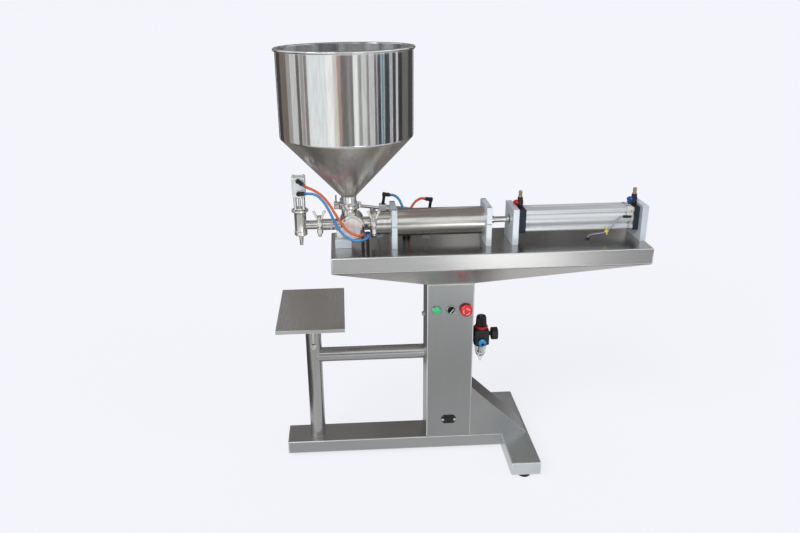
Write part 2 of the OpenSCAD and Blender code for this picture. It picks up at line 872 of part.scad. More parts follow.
module clamp_bolt() {
  seat_y = -post_d / 2 - fit_gap;
  color([0.8, 0.8, 0.8]) {
    to_front([post_x, clamp_nut_l - inner_post_r, clamp_bolt_z])
      cylinder(d = clamp_bolt_d, h = clamp_nut_l - inner_post_r - seat_y);
    to_front([post_x, seat_y, clamp_bolt_z]) cylinder(r = clamp_washer_r, h = clamp_washer_h);
    to_front([post_x, seat_y - clamp_washer_h, clamp_bolt_z])
      cylinder(r = clamp_head_r, h = clamp_head_h, $fn = 6);
  }
}

// Hopper
module hopper_neck() {
  r = neck_d / 2;
  color([0.82, 0.82, 0.83])
    translate([hopper_x, 0, neck_z])
      difference() {
        union() {
          ferrule(hopper_ferrule_r, r);
          cylinder(r = r, h = neck_l);
        }
        translate([0, 0, -over]) cylinder(r = r - neck_wall, h = neck_l + 2 * over);
      }
}

module hopper_cone() {
  top_r = hopper_d / 2;
  low_r = neck_d / 2;
  color([0.82, 0.82, 0.83])
    translate([hopper_x, 0, cone_z]) rotate_extrude($fn = 96)
      polygon([
        [low_r - neck_wall, 0], [low_r, 0], [top_r, cone_h], [top_r - hopper_wall, cone_h]
      ]);
}

module hopper_drum() {
  r = hopper_d / 2;
  color([0.82, 0.82, 0.83])
    translate([hopper_x, 0, wall_z]) rotate_extrude($fn = 96) {
      translate([r - hopper_wall, 0]) square([hopper_wall, hopper_h]);
      translate([r + hopper_wall, hopper_h]) circle(d = rim_d);
    }
}

// Clamps: the pipe's axis is Z, the lugs point along X and the nut sits on -Y
module clamp_seat(i) {
  p = clamp_places[i];
  translate(p[0]) rotate(p[1]) children();
}

function clamp_r(i) = clamp_places[i][2] + clamp_wall;

module clamp_ring(i) {
  rf = clamp_places[i][2];
  ro = clamp_r(i);
  half = clamp_w / 2;
  difference() {
    union() {
      rotate_extrude() polygon([
        [ro, -half], [ro, half], [rf - clamp_lip, half], [rf + fit_gap, clamp_groove / 2],
        [rf + fit_gap, -clamp_groove / 2], [rf - clamp_lip, -half]
      ]);
      block([ro - lug_sink, -lug_h, -lug_w / 2], [ro + lug_reach, lug_h, lug_w / 2]);
      translate([-ro, 0, -half]) cylinder(r = hinge_r, h = clamp_w);
    }
    cylinder(r = rf + fit_gap, h = clamp_groove, center = true);
    block([0, -clamp_gap / 2, -clamp_w], [ro + lug_reach + over, clamp_gap / 2, clamp_w]);
  }
  bolt_x = ro + lug_reach / 2;
  along_y([bolt_x, -lug_h - wing_hub_h - fit_gap, 0])
    cylinder(r = clamp_screw_r, h = 2 * lug_h + wing_hub_h + clamp_ball_r);
  translate([bolt_x, lug_h + clamp_ball_r / 2, 0]) sphere(clamp_ball_r);
}

module clamp_rings() {
  color([0.8, 0.8, 0.81])
    for (i = [0 : 2]) clamp_seat(i) clamp_ring(i);
}

module wing_nut(i) {
  root = wing_h * wing_root_share;
  clamp_seat(i) translate([clamp_r(i) + lug_reach / 2, -lug_h - fit_gap, 0]) rotate([90, 90, 0])
    difference() {
      union() {
        cylinder(r = wing_hub_r, h = wing_hub_h);
        for (s = [0, 180]) rotate([90, 0, s]) linear_extrude(wing_t, center = true) {
          polygon([[0, 0], [wing_hub_r, 0], [wing_span, wing_h - wing_t],
            [wing_span - wing_t, wing_h - wing_t],
            [0, root]]);
          translate([wing_span - wing_t / 2, wing_h - wing_t]) circle(wing_t);
        }
      }
      translate([0, 0, -over]) cylinder(r = clamp_screw_r + run_gap, h = wing_h + over);
    }
}

module hopper_wing_nut() { color([0.83, 0.83, 0.83]) wing_nut(0); }
module outlet_wing_nut() { color([0.83, 0.83, 0.83]) wing_nut(1); }
module cylinder_wing_nut() { color([0.83, 0.83, 0.83]) wing_nut(2); }

// Product valve
block_x = valve_x - valve_pad_shift;

module support_block() {
  color([0.86, 0.88, 0.9])
    block([block_x - block_l / 2, -block_w / 2, table_z],
      [block_x + block_l / 2, block_w / 2, table_z + block_h]);
}

module valve_body() {
  outlet_r = outlet_d / 2;
  color([0.8, 0.8, 0.8])
    difference() {
      union() {
        along_y([valve_x, -valve_l / 2, axis_z]) cylinder(d = valve_d, h = valve_l);
        translate([hopper_x, 0, axis_z]) cylinder(d = neck_d, h = neck_rise);
        translate([hopper_x, 0, neck_z]) mirror([0, 0, 1]) ferrule(hopper_ferrule_r, neck_d / 2);
        along_x([valve_x, 0, axis_z]) cylinder(d = valve_port_d, h = inlet_reach);
        along_x([inlet_x, 0, axis_z]) mirror([0, 0, 1]) ferrule(inlet_ferrule_r, valve_port_d / 2);
        along_x([outlet_x, 0, axis_z]) cylinder(r = outlet_r, h = outlet_reach);
        along_x([outlet_x, 0, axis_z]) ferrule(outlet_ferrule_r, outlet_r);
        block([block_x - valve_pad_l / 2, -valve_pad_w / 2, table_z + block_h],
          [block_x + valve_pad_l / 2, valve_pad_w / 2, axis_z]);
      }
      along_y([valve_x, -valve_l / 2 - over, axis_z])
        cylinder(r = plug_d / 2 + run_gap, h = valve_l + 2 * over);
      translate([valve_x, 0, axis_z]) cylinder(d = passage_d, h = neck_rise * 3 / 4);
      translate([hopper_x, 0, axis_z + neck_rise / 2]) cylinder(r = neck_d / 2 - neck_wall, h = neck_rise);
      along_x([valve_x, 0, axis_z]) cylinder(d = valve_port_bore, h = inlet_reach + over);
      along_x([outlet_x - over, 0, axis_z]) cylinder(r = outlet_r - outlet_wall, h = outlet_reach + over);
    }
}

module valve_caps() {
  color([0.84, 0.84, 0.84]) {
    to_front([valve_x, -valve_l / 2, axis_z]) cylinder(d = cap_d, h = front_cap_t);
    difference() {
      along_y([valve_x, valve_l / 2, axis_z]) cylinder(d = cap_d, h = rear_cap_t);
      along_y([valve_x, 0, axis_z]) cylinder(r = stem_d / 2 + run_gap, h = valve_l);
    }
  }
}

module valve_plug() {
  color([0.7, 0.7, 0.72]) {
    difference() {
      union() {
        along_y([valve_x, -plug_l / 2, axis_z]) cylinder(d = plug_d, h = plug_l);
        along_y([valve_x, 0, axis_z]) cylinder(d = stem_d, h = stem_end);
      }
      translate([valve_x, 0, axis_z - plug_d]) cylinder(d = passage_d, h = 2 * plug_d);
      along_x([valve_x, 0, axis_z]) cylinder(d = plug_side_d, h = plug_d);
    }
    difference() {
      along_y([valve_x, actuator_y + lever_t / 2, axis_z])
        cylinder(r = stem_nut_r, h = stem_end - actuator_y - lever_t / 2 + over, $fn = 6);
      along_y([valve_x, 0, axis_z]) cylinder(d = stem_d, h = stem_end);
    }
  }
}

module valve_lever() {
  color([0.6, 0.6, 0.62])
    slide_frame() rotate([0, -lever_sweep / 2, 0])
      difference() {
        union() {
          along_y([0, actuator_y - lever_t / 2, 0]) cylinder(r = lever_hub_r, h = lever_t);
          block([-lever_w / 2, actuator_y - lever_t / 2, 0],
            [lever_w / 2, actuator_y + lever_t / 2, lever_l]);
          along_y([0, actuator_y - lever_t / 2, lever_l]) cylinder(d = lever_w, h = lever_t);
          along_y([0, actuator_y - lever_t / 2 - fork_gap - fork_t, lever_l])
            cylinder(r = lever_pin_r, h = lever_t + 2 * fork_gap + 2 * fork_t);
        }
        along_y([0, 0, 0]) cylinder(r = stem_d / 2 + seat_gap, h = 2 * actuator_y);
      }
}

module actuator_cylinder() {
  far = actuator_start + actuator_l;
  cap_half = actuator_cap_w / 2;
  color([0.8, 0.83, 0.86])
    difference() {
      slide_frame() {
        difference() {
          union() {
            along_x([actuator_start, actuator_y, actuator_rise]) cylinder(d = actuator_d, h = actuator_l);
            for (x = [actuator_start, far - actuator_cap_l]) {
              block([x, actuator_y - cap_half, actuator_rise - cap_half],
                [x + actuator_cap_l, actuator_y + cap_half, actuator_rise + cap_half]);
              block([x, actuator_y - bracket_w / 2, -2 * axis_rise],
                [x + bracket_t, actuator_y + bracket_w / 2, actuator_rise]);
            }
          }
          along_x([actuator_start + actuator_cap_l / 2, actuator_y, actuator_rise])
            cylinder(r = actuator_d / 2 - actuator_wall, h = actuator_l - actuator_cap_l);
          along_x([actuator_start - over, actuator_y, actuator_rise])
            cylinder(r = actuator_rod_d / 2 + run_gap, h = actuator_cap_l);
        }
      }
      block([valve_x - actuator_l, 0, table_z - 2 * axis_rise],
        [valve_x + 2 * actuator_l, table_w / 2, table_z]);
    }
  color([0.8, 0.83, 0.86])
    for (x = [actuator_start, far - actuator_cap_l]) {
      foot_x = valve_x + x / cos(actuator_tilt) - axis_rise * tan(actuator_tilt);
      block([foot_x + bracket_t / 2, actuator_y - bracket_foot_w / 2, table_z],
        [foot_x + bracket_foot_l, actuator_y + bracket_foot_w / 2, table_z + bracket_foot_t]);
    }
}

module fork_plate(y) {
  half_h = fork_slot_h / 2 + fork_rim;
  difference() {
    block([-fork_slot_w / 2 - fork_rim, y, actuator_rise - half_h],
      [fork_back + fork_block, y + fork_t, actuator_rise + half_h]);
    block([-fork_slot_w / 2, y - over, actuator_rise - fork_slot_h / 2],
      [fork_slot_w / 2, y + fork_t + over, actuator_rise + fork_slot_h / 2]);
  }
}

module actuator_rod() {
  front_tine = actuator_y - lever_t / 2 - fork_gap - fork_t;
  rear_tine = actuator_y + lever_t / 2 + fork_gap;
  half_h = fork_slot_h / 2 + fork_rim;
  piston_at = actuator_start + actuator_cap_l;
  color([0.75, 0.75, 0.77])
    slide_frame() {
      translate([-lever_reach, 0, 0]) {
        fork_plate(front_tine);
        fork_plate(rear_tine);
        block([fork_back, front_tine, actuator_rise - fork_block_drop],
          [fork_back + fork_block, rear_tine + fork_t, actuator_rise + half_h]);
      }
      along_x([fork_back + fork_block - lever_reach, actuator_y, actuator_rise])
        cylinder(d = actuator_rod_d, h = piston_at - fork_back - fork_block + lever_reach);
      along_x([piston_at, actuator_y, actuator_rise])
        cylinder(r = actuator_d / 2 - actuator_wall - run_gap, h = actuator_piston_l);
    }
}

// Filling valve
module fill_body() {
  pipe_l = outlet_x - fill_x;
  color([0.8, 0.8, 0.79])
    difference() {
      union() {
        translate([fill_x, 0, fill_base_z]) cylinder(d = fill_d, h = fill_h);
        translate([fill_x, 0, fill_base_z]) cylinder(d = fill_foot_d, h = fill_foot_h);
        translate([fill_x, 0, fill_top_z]) cylinder(d = fill_collar_d, h = fill_collar_h);
        along_x([fill_x, 0, axis_z]) cylinder(d = fill_pipe_d, h = pipe_l);
        along_x([outlet_x, 0, axis_z]) mirror([0, 0, 1]) ferrule(outlet_ferrule_r, fill_pipe_d / 2);
      }
      translate([fill_x, 0, fill_base_z + fill_roof]) cylinder(d = fill_bore, h = fill_h - fill_roof);
      translate([fill_x, 0, fill_base_z - over]) cylinder(d = seat_d, h = fill_roof + 2 * over);
      translate([fill_x, 0, fill_top_z - over])
        cylinder(r = fill_stem_r + run_gap, h = fill_collar_h + 2 * over);
      along_x([fill_x, 0, axis_z]) cylinder(d = fill_pipe_bore, h = pipe_l + over);
    }
}

module fill_cage() {
  half = cage_w / 2;
  window = cage_window / 2;
  color([0.78, 0.78, 0.77])
    difference() {
      block([fill_x - half, -half, cage_z], [fill_x + half, half, fill_block_z]);
      block([fill_x - window, -half - over, cage_z + cage_post],
        [fill_x + window, half + over, fill_block_z - cage_post]);
      block([fill_x - half - over, -window, cage_z + cage_post],
        [fill_x + half + over, window, fill_block_z - cage_post]);
      translate([fill_x, 0, cage_z - over]) cylinder(r = fill_stem_r + fit_gap, h = cage_h + 2 * over);
    }
}

module fill_cylinder() {
  half = fill_block_w / 2;
  color([0.83, 0.86, 0.88])
    difference() {
      block([fill_x - half, -half, fill_block_z], [fill_x + half, half, fill_block_z + fill_block_h]);
      translate([fill_x, 0, fill_block_z + fill_block_floor])
        cylinder(r = fill_piston_r, h = fill_piston_h + fill_lift + 2 * fit_gap);
      translate([fill_x, 0, fill_block_z - over])
        cylinder(r = fill_stem_r + run_gap, h = fill_block_floor + 2 * over);
      for (s = [-1, 1])
        block([fill_x + s * half * 2 / 3 - groove_w / 2, -half - over, fill_block_z - over],
          [fill_x + s * half * 2 / 3 + groove_w / 2, groove_t - half, fill_block_z + fill_block_h + over]);
    }
}

module fill_plunger() {
  seal_z = fill_base_z + fill_roof + fit_gap;
  piston_z = fill_block_z + fill_block_floor + fit_gap;
  color([0.85, 0.85, 0.86])
    translate([fill_x, 0, 0]) {
      translate([0, 0, seal_z]) cylinder(r = fill_seal_r, h = fill_seal_h);
      translate([0, 0, seal_z]) cylinder(r = fill_stem_r, h = piston_z - seal_z);
      translate([0, 0, piston_z]) cylinder(r = fill_piston_r - run_gap, h = fill_piston_h);
    }
}

module nozzle_tip() {
  color([0.8, 0.79, 0.76])
    translate([fill_x, 0, fill_base_z - nozzle_l])
      difference() {
        cylinder(d1 = nozzle_d, d2 = nozzle_root_d, h = nozzle_l);
        translate([0, 0, -over]) cylinder(d = nozzle_bore, h = nozzle_l + 2 * over);
      }
}

// Product cylinder
module barrel_heads() {
  color([0.82, 0.82, 0.82]) {
    difference() {
      union() {
        along_x([inlet_x, 0, axis_z]) ferrule(inlet_ferrule_r, inlet_pipe_d / 2);
        along_x([inlet_x, 0, axis_z]) cylinder(d = inlet_pipe_d, h = inlet_pipe_l);
        along_x([barrel_x, 0, axis_z]) cylinder(r = barrel_r, h = head_t);
      }
      along_x([inlet_x - over, 0, axis_z]) cylinder(d = inlet_pipe_bore, h = inlet_pipe_l - over);
      along_x([inlet_x, 0, axis_z]) cylinder(d = head_bore, h = inlet_pipe_l + head_t + over);
    }
    difference() {
      union() {
        along_x([barrel_end - gland_t, 0, axis_z]) cylinder(r = barrel_r, h = gland_t);
        along_x([barrel_end, 0, axis_z]) cylinder(r = gland_boss_r, h = gland_boss_l);
      }
      along_x([barrel_end - gland_t - over, 0, axis_z])
        cylinder(r = rod_d / 2 + run_gap, h = gland_t + gland_boss_l + 2 * over);
    }
  }
}

module product_barrel() {
  start = barrel_x + head_t;
  l = barrel_l - head_t - gland_t;
  color([0.84, 0.84, 0.85])
    difference() {
      along_x([start, 0, axis_z]) cylinder(r = barrel_r, h = l);
      along_x([start - over, 0, axis_z]) cylinder(d = bore_d, h = l + 2 * over);
    }
}

module product_piston() {
  color([0.9, 0.9, 0.88]) {
    along_x([piston_x, 0, axis_z]) cylinder(r = bore_d / 2 - piston_skirt, h = piston_l);
    for (x = [seal_w, piston_l - 2 * seal_w])
      along_x([piston_x + x, 0, axis_z]) cylinder(r = bore_d / 2 - run_gap, h = seal_w);
  }
}

module piston_rod() {
  start = piston_x + piston_l;
  air_start = profile_x + air_piston_start;
  color([0.88, 0.88, 0.9]) {
    along_x([start, 0, axis_z]) cylinder(d = rod_d, h = air_start - start);
    along_x([air_start, 0, axis_z]) cylinder(r = air_bore_d / 2 - run_gap, h = air_piston_l);
  }
}

module cradle_cuts(x) {
  along_x([x - over, 0, axis_z]) cylinder(r = barrel_r + seat_gap, h = cradle_t + 2 * over);
  for (s = [-1, 1]) translate([x + cradle_t / 2, s * cradle_screw_y, 0]) {
    translate([0, 0, table_z - over])
      cylinder(r = cradle_screw_r + seat_gap, h = axis_rise + cradle_rise + 2 * over);
    translate([0, 0, axis_z + cradle_rise - cradle_head_h])
      cylinder(r = cradle_head_r + seat_gap, h = cradle_head_h + over);
  }
}

module lower_cradles() {
  color([0.86, 0.88, 0.9])
    for (x = [barrel_x, rear_cradle_x])
      difference() {
        block([x, -plate_w / 2, table_z], [x + cradle_t, plate_w / 2, axis_z - parting / 2]);
        cradle_cuts(x);
      }
}

module upper_cradles() {
  color([0.86, 0.88, 0.9])
    for (x = [barrel_x, rear_cradle_x])
      difference() {
        block([x, -plate_w / 2, axis_z + parting / 2], [x + cradle_t, plate_w / 2, axis_z + cradle_rise]);
        cradle_cuts(x);
      }
}

// Air cylinder
module air_plates() {
  color([0.85, 0.87, 0.9])
    difference() {
      for (x = [front_plate_x, rear_plate_x])
        block([x, -plate_w / 2, table_z], [x + plate_t, plate_w / 2, axis_z + plate_rise]);
      along_x([front_plate_x - over, 0, axis_z]) cylinder(r = plate_hole_r, h = plate_t + 2 * over);
    }
}

module air_heads() {
  color([0.1, 0.11, 0.12]) {
    difference() {
      union() {
        along_x([front_head_x, 0, axis_z]) linear_extrude(front_head_l)
          rounded_square(head_w, head_w, head_corner);
        along_x([front_head_x - head_boss_l, 0, axis_z]) cylinder(r = head_boss_r, h = head_boss_l);
      }
      along_x([front_plate_x, 0, axis_z])
        cylinder(r = rod_d / 2 + run_gap, h = plate_t + front_head_l + over);
    }
    along_x([rear_head_x, 0, axis_z]) linear_extrude(rear_head_l) rounded_square(head_w, head_w, head_corner);
  }
}

module profile_tube() {
  half = profile_w / 2;
  color([0.85, 0.86, 0.87])
    along_x([profile_x, 0, axis_z])
      difference() {
        linear_extrude(profile_l) rounded_square(profile_w, profile_w, profile_corner);
        translate([0, 0, -over]) cylinder(d = air_bore_d, h = profile_l + 2 * over);
        for (a = [0 : 90 : 270], s = [-1, 1]) rotate([0, 0, a])
          translate([half - rib_groove_t, s * (half - rib_groove_inset) - rib_groove_w / 2, -over])
            cube([rib_groove_t + over, rib_groove_w, profile_l + 2 * over]);
      }
}

module flow_controls() {
  arm_z = control_z + control_stem_l + control_arm_rise;
  body_z = control_z + control_stem_l;
  color([0.09, 0.09, 0.1])
    for (x = control_xs)
      difference() {
        union() {
          translate([x, 0, control_z]) cylinder(r = control_stem_r, h = control_stem_l);
          translate([x, 0, body_z]) cylinder(r = control_body_r, h = control_body_h);
          along_x([x - control_arm_l, 0, arm_z]) cylinder(r = control_arm_r, h = control_arm_l);
        }
        translate([x, 0, body_z + control_body_h / 2])
          cylinder(r = flow_screw_r / 2 + run_gap, h = control_body_h);
        along_x([x - control_arm_l - over, 0, arm_z]) cylinder(r = port_bore_r, h = over + ring_l);
      }
}

module flow_screw(x) {
  top_z = control_z + control_stem_l + control_body_h + fit_gap;
  color([0.72, 0.55, 0.3])
    difference() {
      translate([x, 0, top_z]) {
        translate([0, 0, -control_body_h / 3]) cylinder(r = flow_screw_r / 2, h = control_body_h / 3);
        cylinder(r = flow_nut_r, h = flow_nut_h);
        cylinder(r = flow_screw_r, h = flow_screw_l);
      }
      block([x - flow_nut_r, -flow_slot / 2, top_z + flow_screw_l - flow_screw_r / 2],
        [x + flow_nut_r, flow_slot / 2, top_z + flow_screw_l + over]);
    }
}

module front_flow_screw() { flow_screw(control_xs[0]); }
module rear_flow_screw() { flow_screw(control_xs[1]); }

module reed_switch() {
  x = rear_head_x - strap_inset;
  z = axis_z + reed_rise;
  half = profile_w / 2;
  color([0.72, 0.72, 0.7]) {
    difference() {
      along_x([x - strap_w / 2, 0, axis_z]) linear_extrude(strap_w)
        rounded_square(profile_w + 2 * strap_t, profile_w + 2 * strap_t, profile_corner);
      along_x([x - strap_w, 0, axis_z]) linear_extrude(2 * strap_w)
        rounded_square(profile_w, profile_w, profile_corner);
    }
    block([x + reed_lead - reed_l, -half - reed_t, z - reed_h / 2],
      [x + reed_lead, -half, z + reed_h / 2]);
  }
}

// Push-in fittings
module elbow_body(stem_l, arm_turn) {
  cylinder(r = fitting_stem_r, h = stem_l);
  translate([0, 0, stem_l - fitting_r]) cylinder(r = fitting_r, h = 2 * fitting_r);
  rotate([0, 0, arm_turn]) along_x([0, 0, stem_l]) cylinder(r = fitting_r - seat_gap, h = fitting_arm);
}

module elbow_ring(stem_l, arm_turn) {
  rotate([0, 0, arm_turn]) along_x([fitting_arm, 0, stem_l]) cylinder(r = ring_r, h = ring_l);
}

module open_ring() {
  difference() {
    cylinder(r = ring_r, h = ring_l);
    translate([0, 0, -over]) cylinder(r = port_bore_r, h = ring_l + 2 * over);
  }
}

module air_fittings() {
  color([0.07, 0.07, 0.08]) {
    for (p = concat(fill_ports, table_ports)) translate(p[0]) rotate(p[1]) elbow_body(p[2], p[3]);
    slide_frame() for (p = actuator_ports) translate(p[0]) rotate(p[1]) elbow_body(p[2], p[3]);
    for (p = straight_ports) translate(p[0]) rotate(p[1]) cylinder(r = fitting_r, h = p[2]);
    translate([cable_end[0], cable_end[1], table_z]) cylinder(r = cable_gland_r, h = cable_gland_h);
  }
}

module release_rings() {
  arm_z = control_z + control_stem_l + control_arm_rise;
  color([0.15, 0.35, 0.75]) {
    for (p = concat(fill_ports, table_ports)) translate(p[0]) rotate(p[1]) elbow_ring(p[2], p[3]);
    slide_frame() for (p = actuator_ports) translate(p[0]) rotate(p[1]) elbow_ring(p[2], p[3]);
    for (p = straight_ports)
      translate(p[0]) rotate(p[1]) translate([0, 0, p[2]]) cylinder(r = ring_r, h = ring_l);
    for (x = control_xs) along_x([x - control_arm_l - ring_l, 0, arm_z]) open_ring();
    translate(service_port[0]) rotate(service_port[1]) translate([0, 0, service_port[2]]) open_ring();
  }
}

module orange_tubes() {
  color([0.93, 0.4, 0.12]) {
    swept_tube(orange_fill_route, tube_d, tube_sides);
    swept_tube(orange_valve_route, tube_d, tube_sides);
  }
}

module blue_tubes() {
  color([0.25, 0.6, 0.9]) {
    swept_tube(blue_fill_route, tube_d, tube_sides);
    swept_tube(blue_valve_route, tube_d, tube_sides);
  }
}

module sensor_cable() { color([0.35, 0.35, 0.38]) swept_tube(cable_route, cable_d, cable_sides); }

// Air service unit
module service_body() {
  top = service_z + service_h;
  half = service_w / 2;
  left = service_x - half;
  color([0.09, 0.09, 0.1]) {
    difference() {
      union() {
        translate([service_x, 0, service_z]) linear_extrude(service_h)
          rounded_square(service_w, service_w, service_corner);
        translate([service_x, 0, top]) cylinder(r = collar_r, h = collar_h);
        block([column_right + service_arm_t, -service_arm_w / 2, top - service_arm_t - service_corner],
          [left + service_corner, service_arm_w / 2, top - service_corner]);
        block([column_right, -service_arm_w / 2, top - service_flange_h],
          [column_right + service_arm_t, service_arm_w / 2, top]);
        translate(service_port[0]) rotate(service_port[1]) cylinder(r = fitting_r, h = service_port[2]);
      }
      translate(service_port[0]) rotate(service_port[1]) translate([0, 0, service_port[2] - port_depth])
        cylinder(r = port_bore_r, h = port_depth + over);
      translate([service_x, 0, top]) cylinder(r = gauge_stem_r + run_gap, h = collar_h + over);
      screw_shanks(seat_gap);
    }
  }
}

module service_bowl() {
  r = bowl_d / 2;
  cone = r - bowl_tip_r;
  color([0.75, 0.78, 0.8, 0.8])
    translate([service_x, 0, service_z - bowl_h]) rotate_extrude()
      polygon([
        [0, -bowl_tip_h], [bowl_tip_r, -bowl_tip_h], [bowl_tip_r, 0], [r, cone / 2], [r, bowl_h],
        [r - bowl_wall, bowl_h], [r - bowl_wall, cone / 2 + bowl_wall],
        [bowl_tip_r, bowl_wall], [0, bowl_wall]
      ]);
}

module service_knob() {
  base = service_z + service_h + collar_h + knob_neck;
  color([0.06, 0.06, 0.07])
    translate([service_x, 0, base]) {
      cylinder(d = knob_d, h = knob_h);
      translate([0, 0, -knob_neck - collar_h / 2]) cylinder(r = gauge_stem_r, h = knob_neck + collar_h / 2);
    }
}

gauge_x = service_x + service_w / 2 + gauge_stem_l;
gauge_z = service_z + gauge_rise;

module gauge() {
  r = gauge_d / 2;
  color([0.08, 0.08, 0.09])
    difference() {
      union() {
        along_x([service_x + service_w / 2, 0, gauge_z]) cylinder(r = gauge_stem_r, h = gauge_stem_l);
        along_x([gauge_x, 0, gauge_z]) cylinder(r = r, h = gauge_t);
      }
      along_x([gauge_x + gauge_t - gauge_recess, 0, gauge_z])
        cylinder(r = r - gauge_rim, h = gauge_recess + over);
    }
}

module gauge_needle() {
  face_x = gauge_x + gauge_t - gauge_recess;
  reach = gauge_d / 2 - gauge_rim - needle_tail;
  color([0.8, 0.1, 0.1])
    translate([face_x + fit_gap, 0, gauge_z]) {
      along_x([0, 0, 0]) cylinder(r = needle_hub_r, h = needle_lift + needle_t);
      rotate([135, 0, 0])
        block([needle_lift, -needle_w / 2, -needle_tail], [needle_lift + needle_t, needle_w / 2, reach]);
    }
}

// Push buttons
module button_bezels() {
  color([0.12, 0.13, 0.13])
    for (x = button_xs) {
      difference() {
        union() {
          to_front([x, front_y, button_z]) cylinder(d = bezel_d, h = bezel_t);
          to_front([x, front_y + bezel_tube_l, button_z]) cylinder(r = bezel_tube_r, h = bezel_tube_l);
        }
        to_front([x, front_y, button_z]) cylinder(d = bezel_bore, h = bezel_t + over);
        to_front([x, front_y + bezel_tube_l + over, button_z])
          cylinder(d = bezel_tube_bore, h = bezel_tube_l + 2 * over);
      }
    }
}

push_stem_r = bezel_tube_bore / 2 - fit_gap;
cap_r = bezel_bore / 2 - fit_gap;

module green_button() {
  back = front_y - push_travel - fit_gap;
  color([0.1, 0.6, 0.25]) {
    to_front([button_xs[0], back, button_z]) cylinder(r = cap_r, h = push_cap_t);
    to_front([button_xs[0], back + push_stem_l, button_z]) cylinder(r = push_stem_r, h = push_stem_l);
  }
}

module selector_knob() {
  back = front_y - fit_gap;
  bar_y = back - selector_t;
  color([0.07, 0.07, 0.08]) {
    to_front([button_xs[1], back, button_z]) cylinder(r = cap_r, h = selector_t);
    to_front([button_xs[1], back + push_stem_l, button_z]) cylinder(r = push_stem_r, h = push_stem_l);
    intersection() {
      translate([button_xs[1], 0, button_z]) rotate([0, selector_turn, 0])
        block([-selector_bar_w / 2, bar_y - selector_bar_t, -cap_r], [selector_bar_w / 2, back, cap_r]);
      to_front([button_xs[1], back, button_z]) cylinder(r = cap_r - fit_gap, h = selector_t + selector_bar_t);
    }
  }
}

module stop_button() {
  back = front_y - bezel_t - stop_travel - fit_gap;
  neck = front_y - stop_travel - fit_gap;
  edge = stop_head_t / 3;
  color([0.85, 0.08, 0.12]) {
    to_front([button_xs[2], back, button_z]) cylinder(d = stop_d, h = stop_head_t - edge);
    to_front([button_xs[2], back - stop_head_t + edge, button_z])
      cylinder(d1 = stop_d, d2 = stop_d - 2 * edge, h = edge);
    to_front([button_xs[2], neck, button_z]) cylinder(r = cap_r - over, h = neck - back);
    to_front([button_xs[2], neck + push_stem_l, button_z]) cylinder(r = push_stem_r, h = push_stem_l);
  }
}

// Mains inlet
module mains_inlet() {
  w = inlet_w / 2;
  h = inlet_h / 2;
  c = inlet_corner;
  color([0.06, 0.06, 0.07]) {
    difference() {
      union() {
        to_front([column_x, front_y, inlet_z]) linear_extrude(inlet_t)
          polygon([[-w, -h + c], [-w + c, -h], [w - c, -h], [w, -h + c],
            [w, h - c], [w - c, h], [-w + c, h], [-w, h - c]]);
        block([column_x - inlet_body_w / 2, front_y, inlet_z - inlet_body_h / 2],
          [column_x + inlet_body_w / 2, front_y + inlet_body_l, inlet_z + inlet_body_h / 2]);
      }
      block([column_x - inlet_recess_w / 2, front_y - inlet_t - over, inlet_z - inlet_recess_h / 2],
        [column_x + inlet_recess_w / 2, front_y - inlet_t + inlet_recess_l, inlet_z + inlet_recess_h / 2]);
      screw_shanks(seat_gap);
    }
    for (i = [-1 : 1])
      block([column_x + i * inlet_pin_pitch - inlet_pin_t / 2,
          front_y - inlet_t + inlet_recess_l - inlet_pin_l,
          inlet_z - inlet_pin_w / 2 + (i == 0 ? inlet_pin_t : -inlet_pin_t / 2)],
        [column_x + i * inlet_pin_pitch + inlet_pin_t / 2, front_y - inlet_t + inlet_recess_l + over,
          inlet_z + inlet_pin_w / 2 + (i == 0 ? inlet_pin_t : -inlet_pin_t / 2)]);
  }
}

rubber_feet();
base_beam();
cross_foot();
gusset_box();
column_shell();
rear_panel();
screws();
table_tray();
table_belly();
outer_post();
inner_post();
platform_tray();
clamp_bolt();
hopper_neck();
hopper_cone();
hopper_drum();
clamp_rings();
hopper_wing_nut();
outlet_wing_nut();
cylinder_wing_nut();
support_block();
valve_body();
valve_caps();
valve_plug();
valve_lever();
actuator_cylinder();
actuator_rod();
fill_body();
fill_cage();
fill_cylinder();
fill_plunger();
nozzle_tip();
barrel_heads();
product_barrel();
product_piston();
piston_rod();
lower_cradles();
upper_cradles();
air_plates();
air_heads();
profile_tube();
flow_controls();
front_flow_screw();
rear_flow_screw();
reed_switch();
air_fittings();
release_rings();
orange_tubes();
blue_tubes();
sensor_cable();
service_body();
service_bowl();
service_knob();
gauge();
gauge_needle();
button_bezels();
green_button();
selector_knob();
stop_button();
mains_inlet();
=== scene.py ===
# %% [markdown]
# # A piston paste filling machine
# The machine draws paste from a polished hopper, turns a valve and pushes the paste through a nozzle
# into a container on a platform. The construction model already holds every piece at its real size, so
# this notebook only gives the pieces their real form and finish. It starts by loading that model.

import json
import math

import bpy
from mathutils import Euler, Matrix, Vector

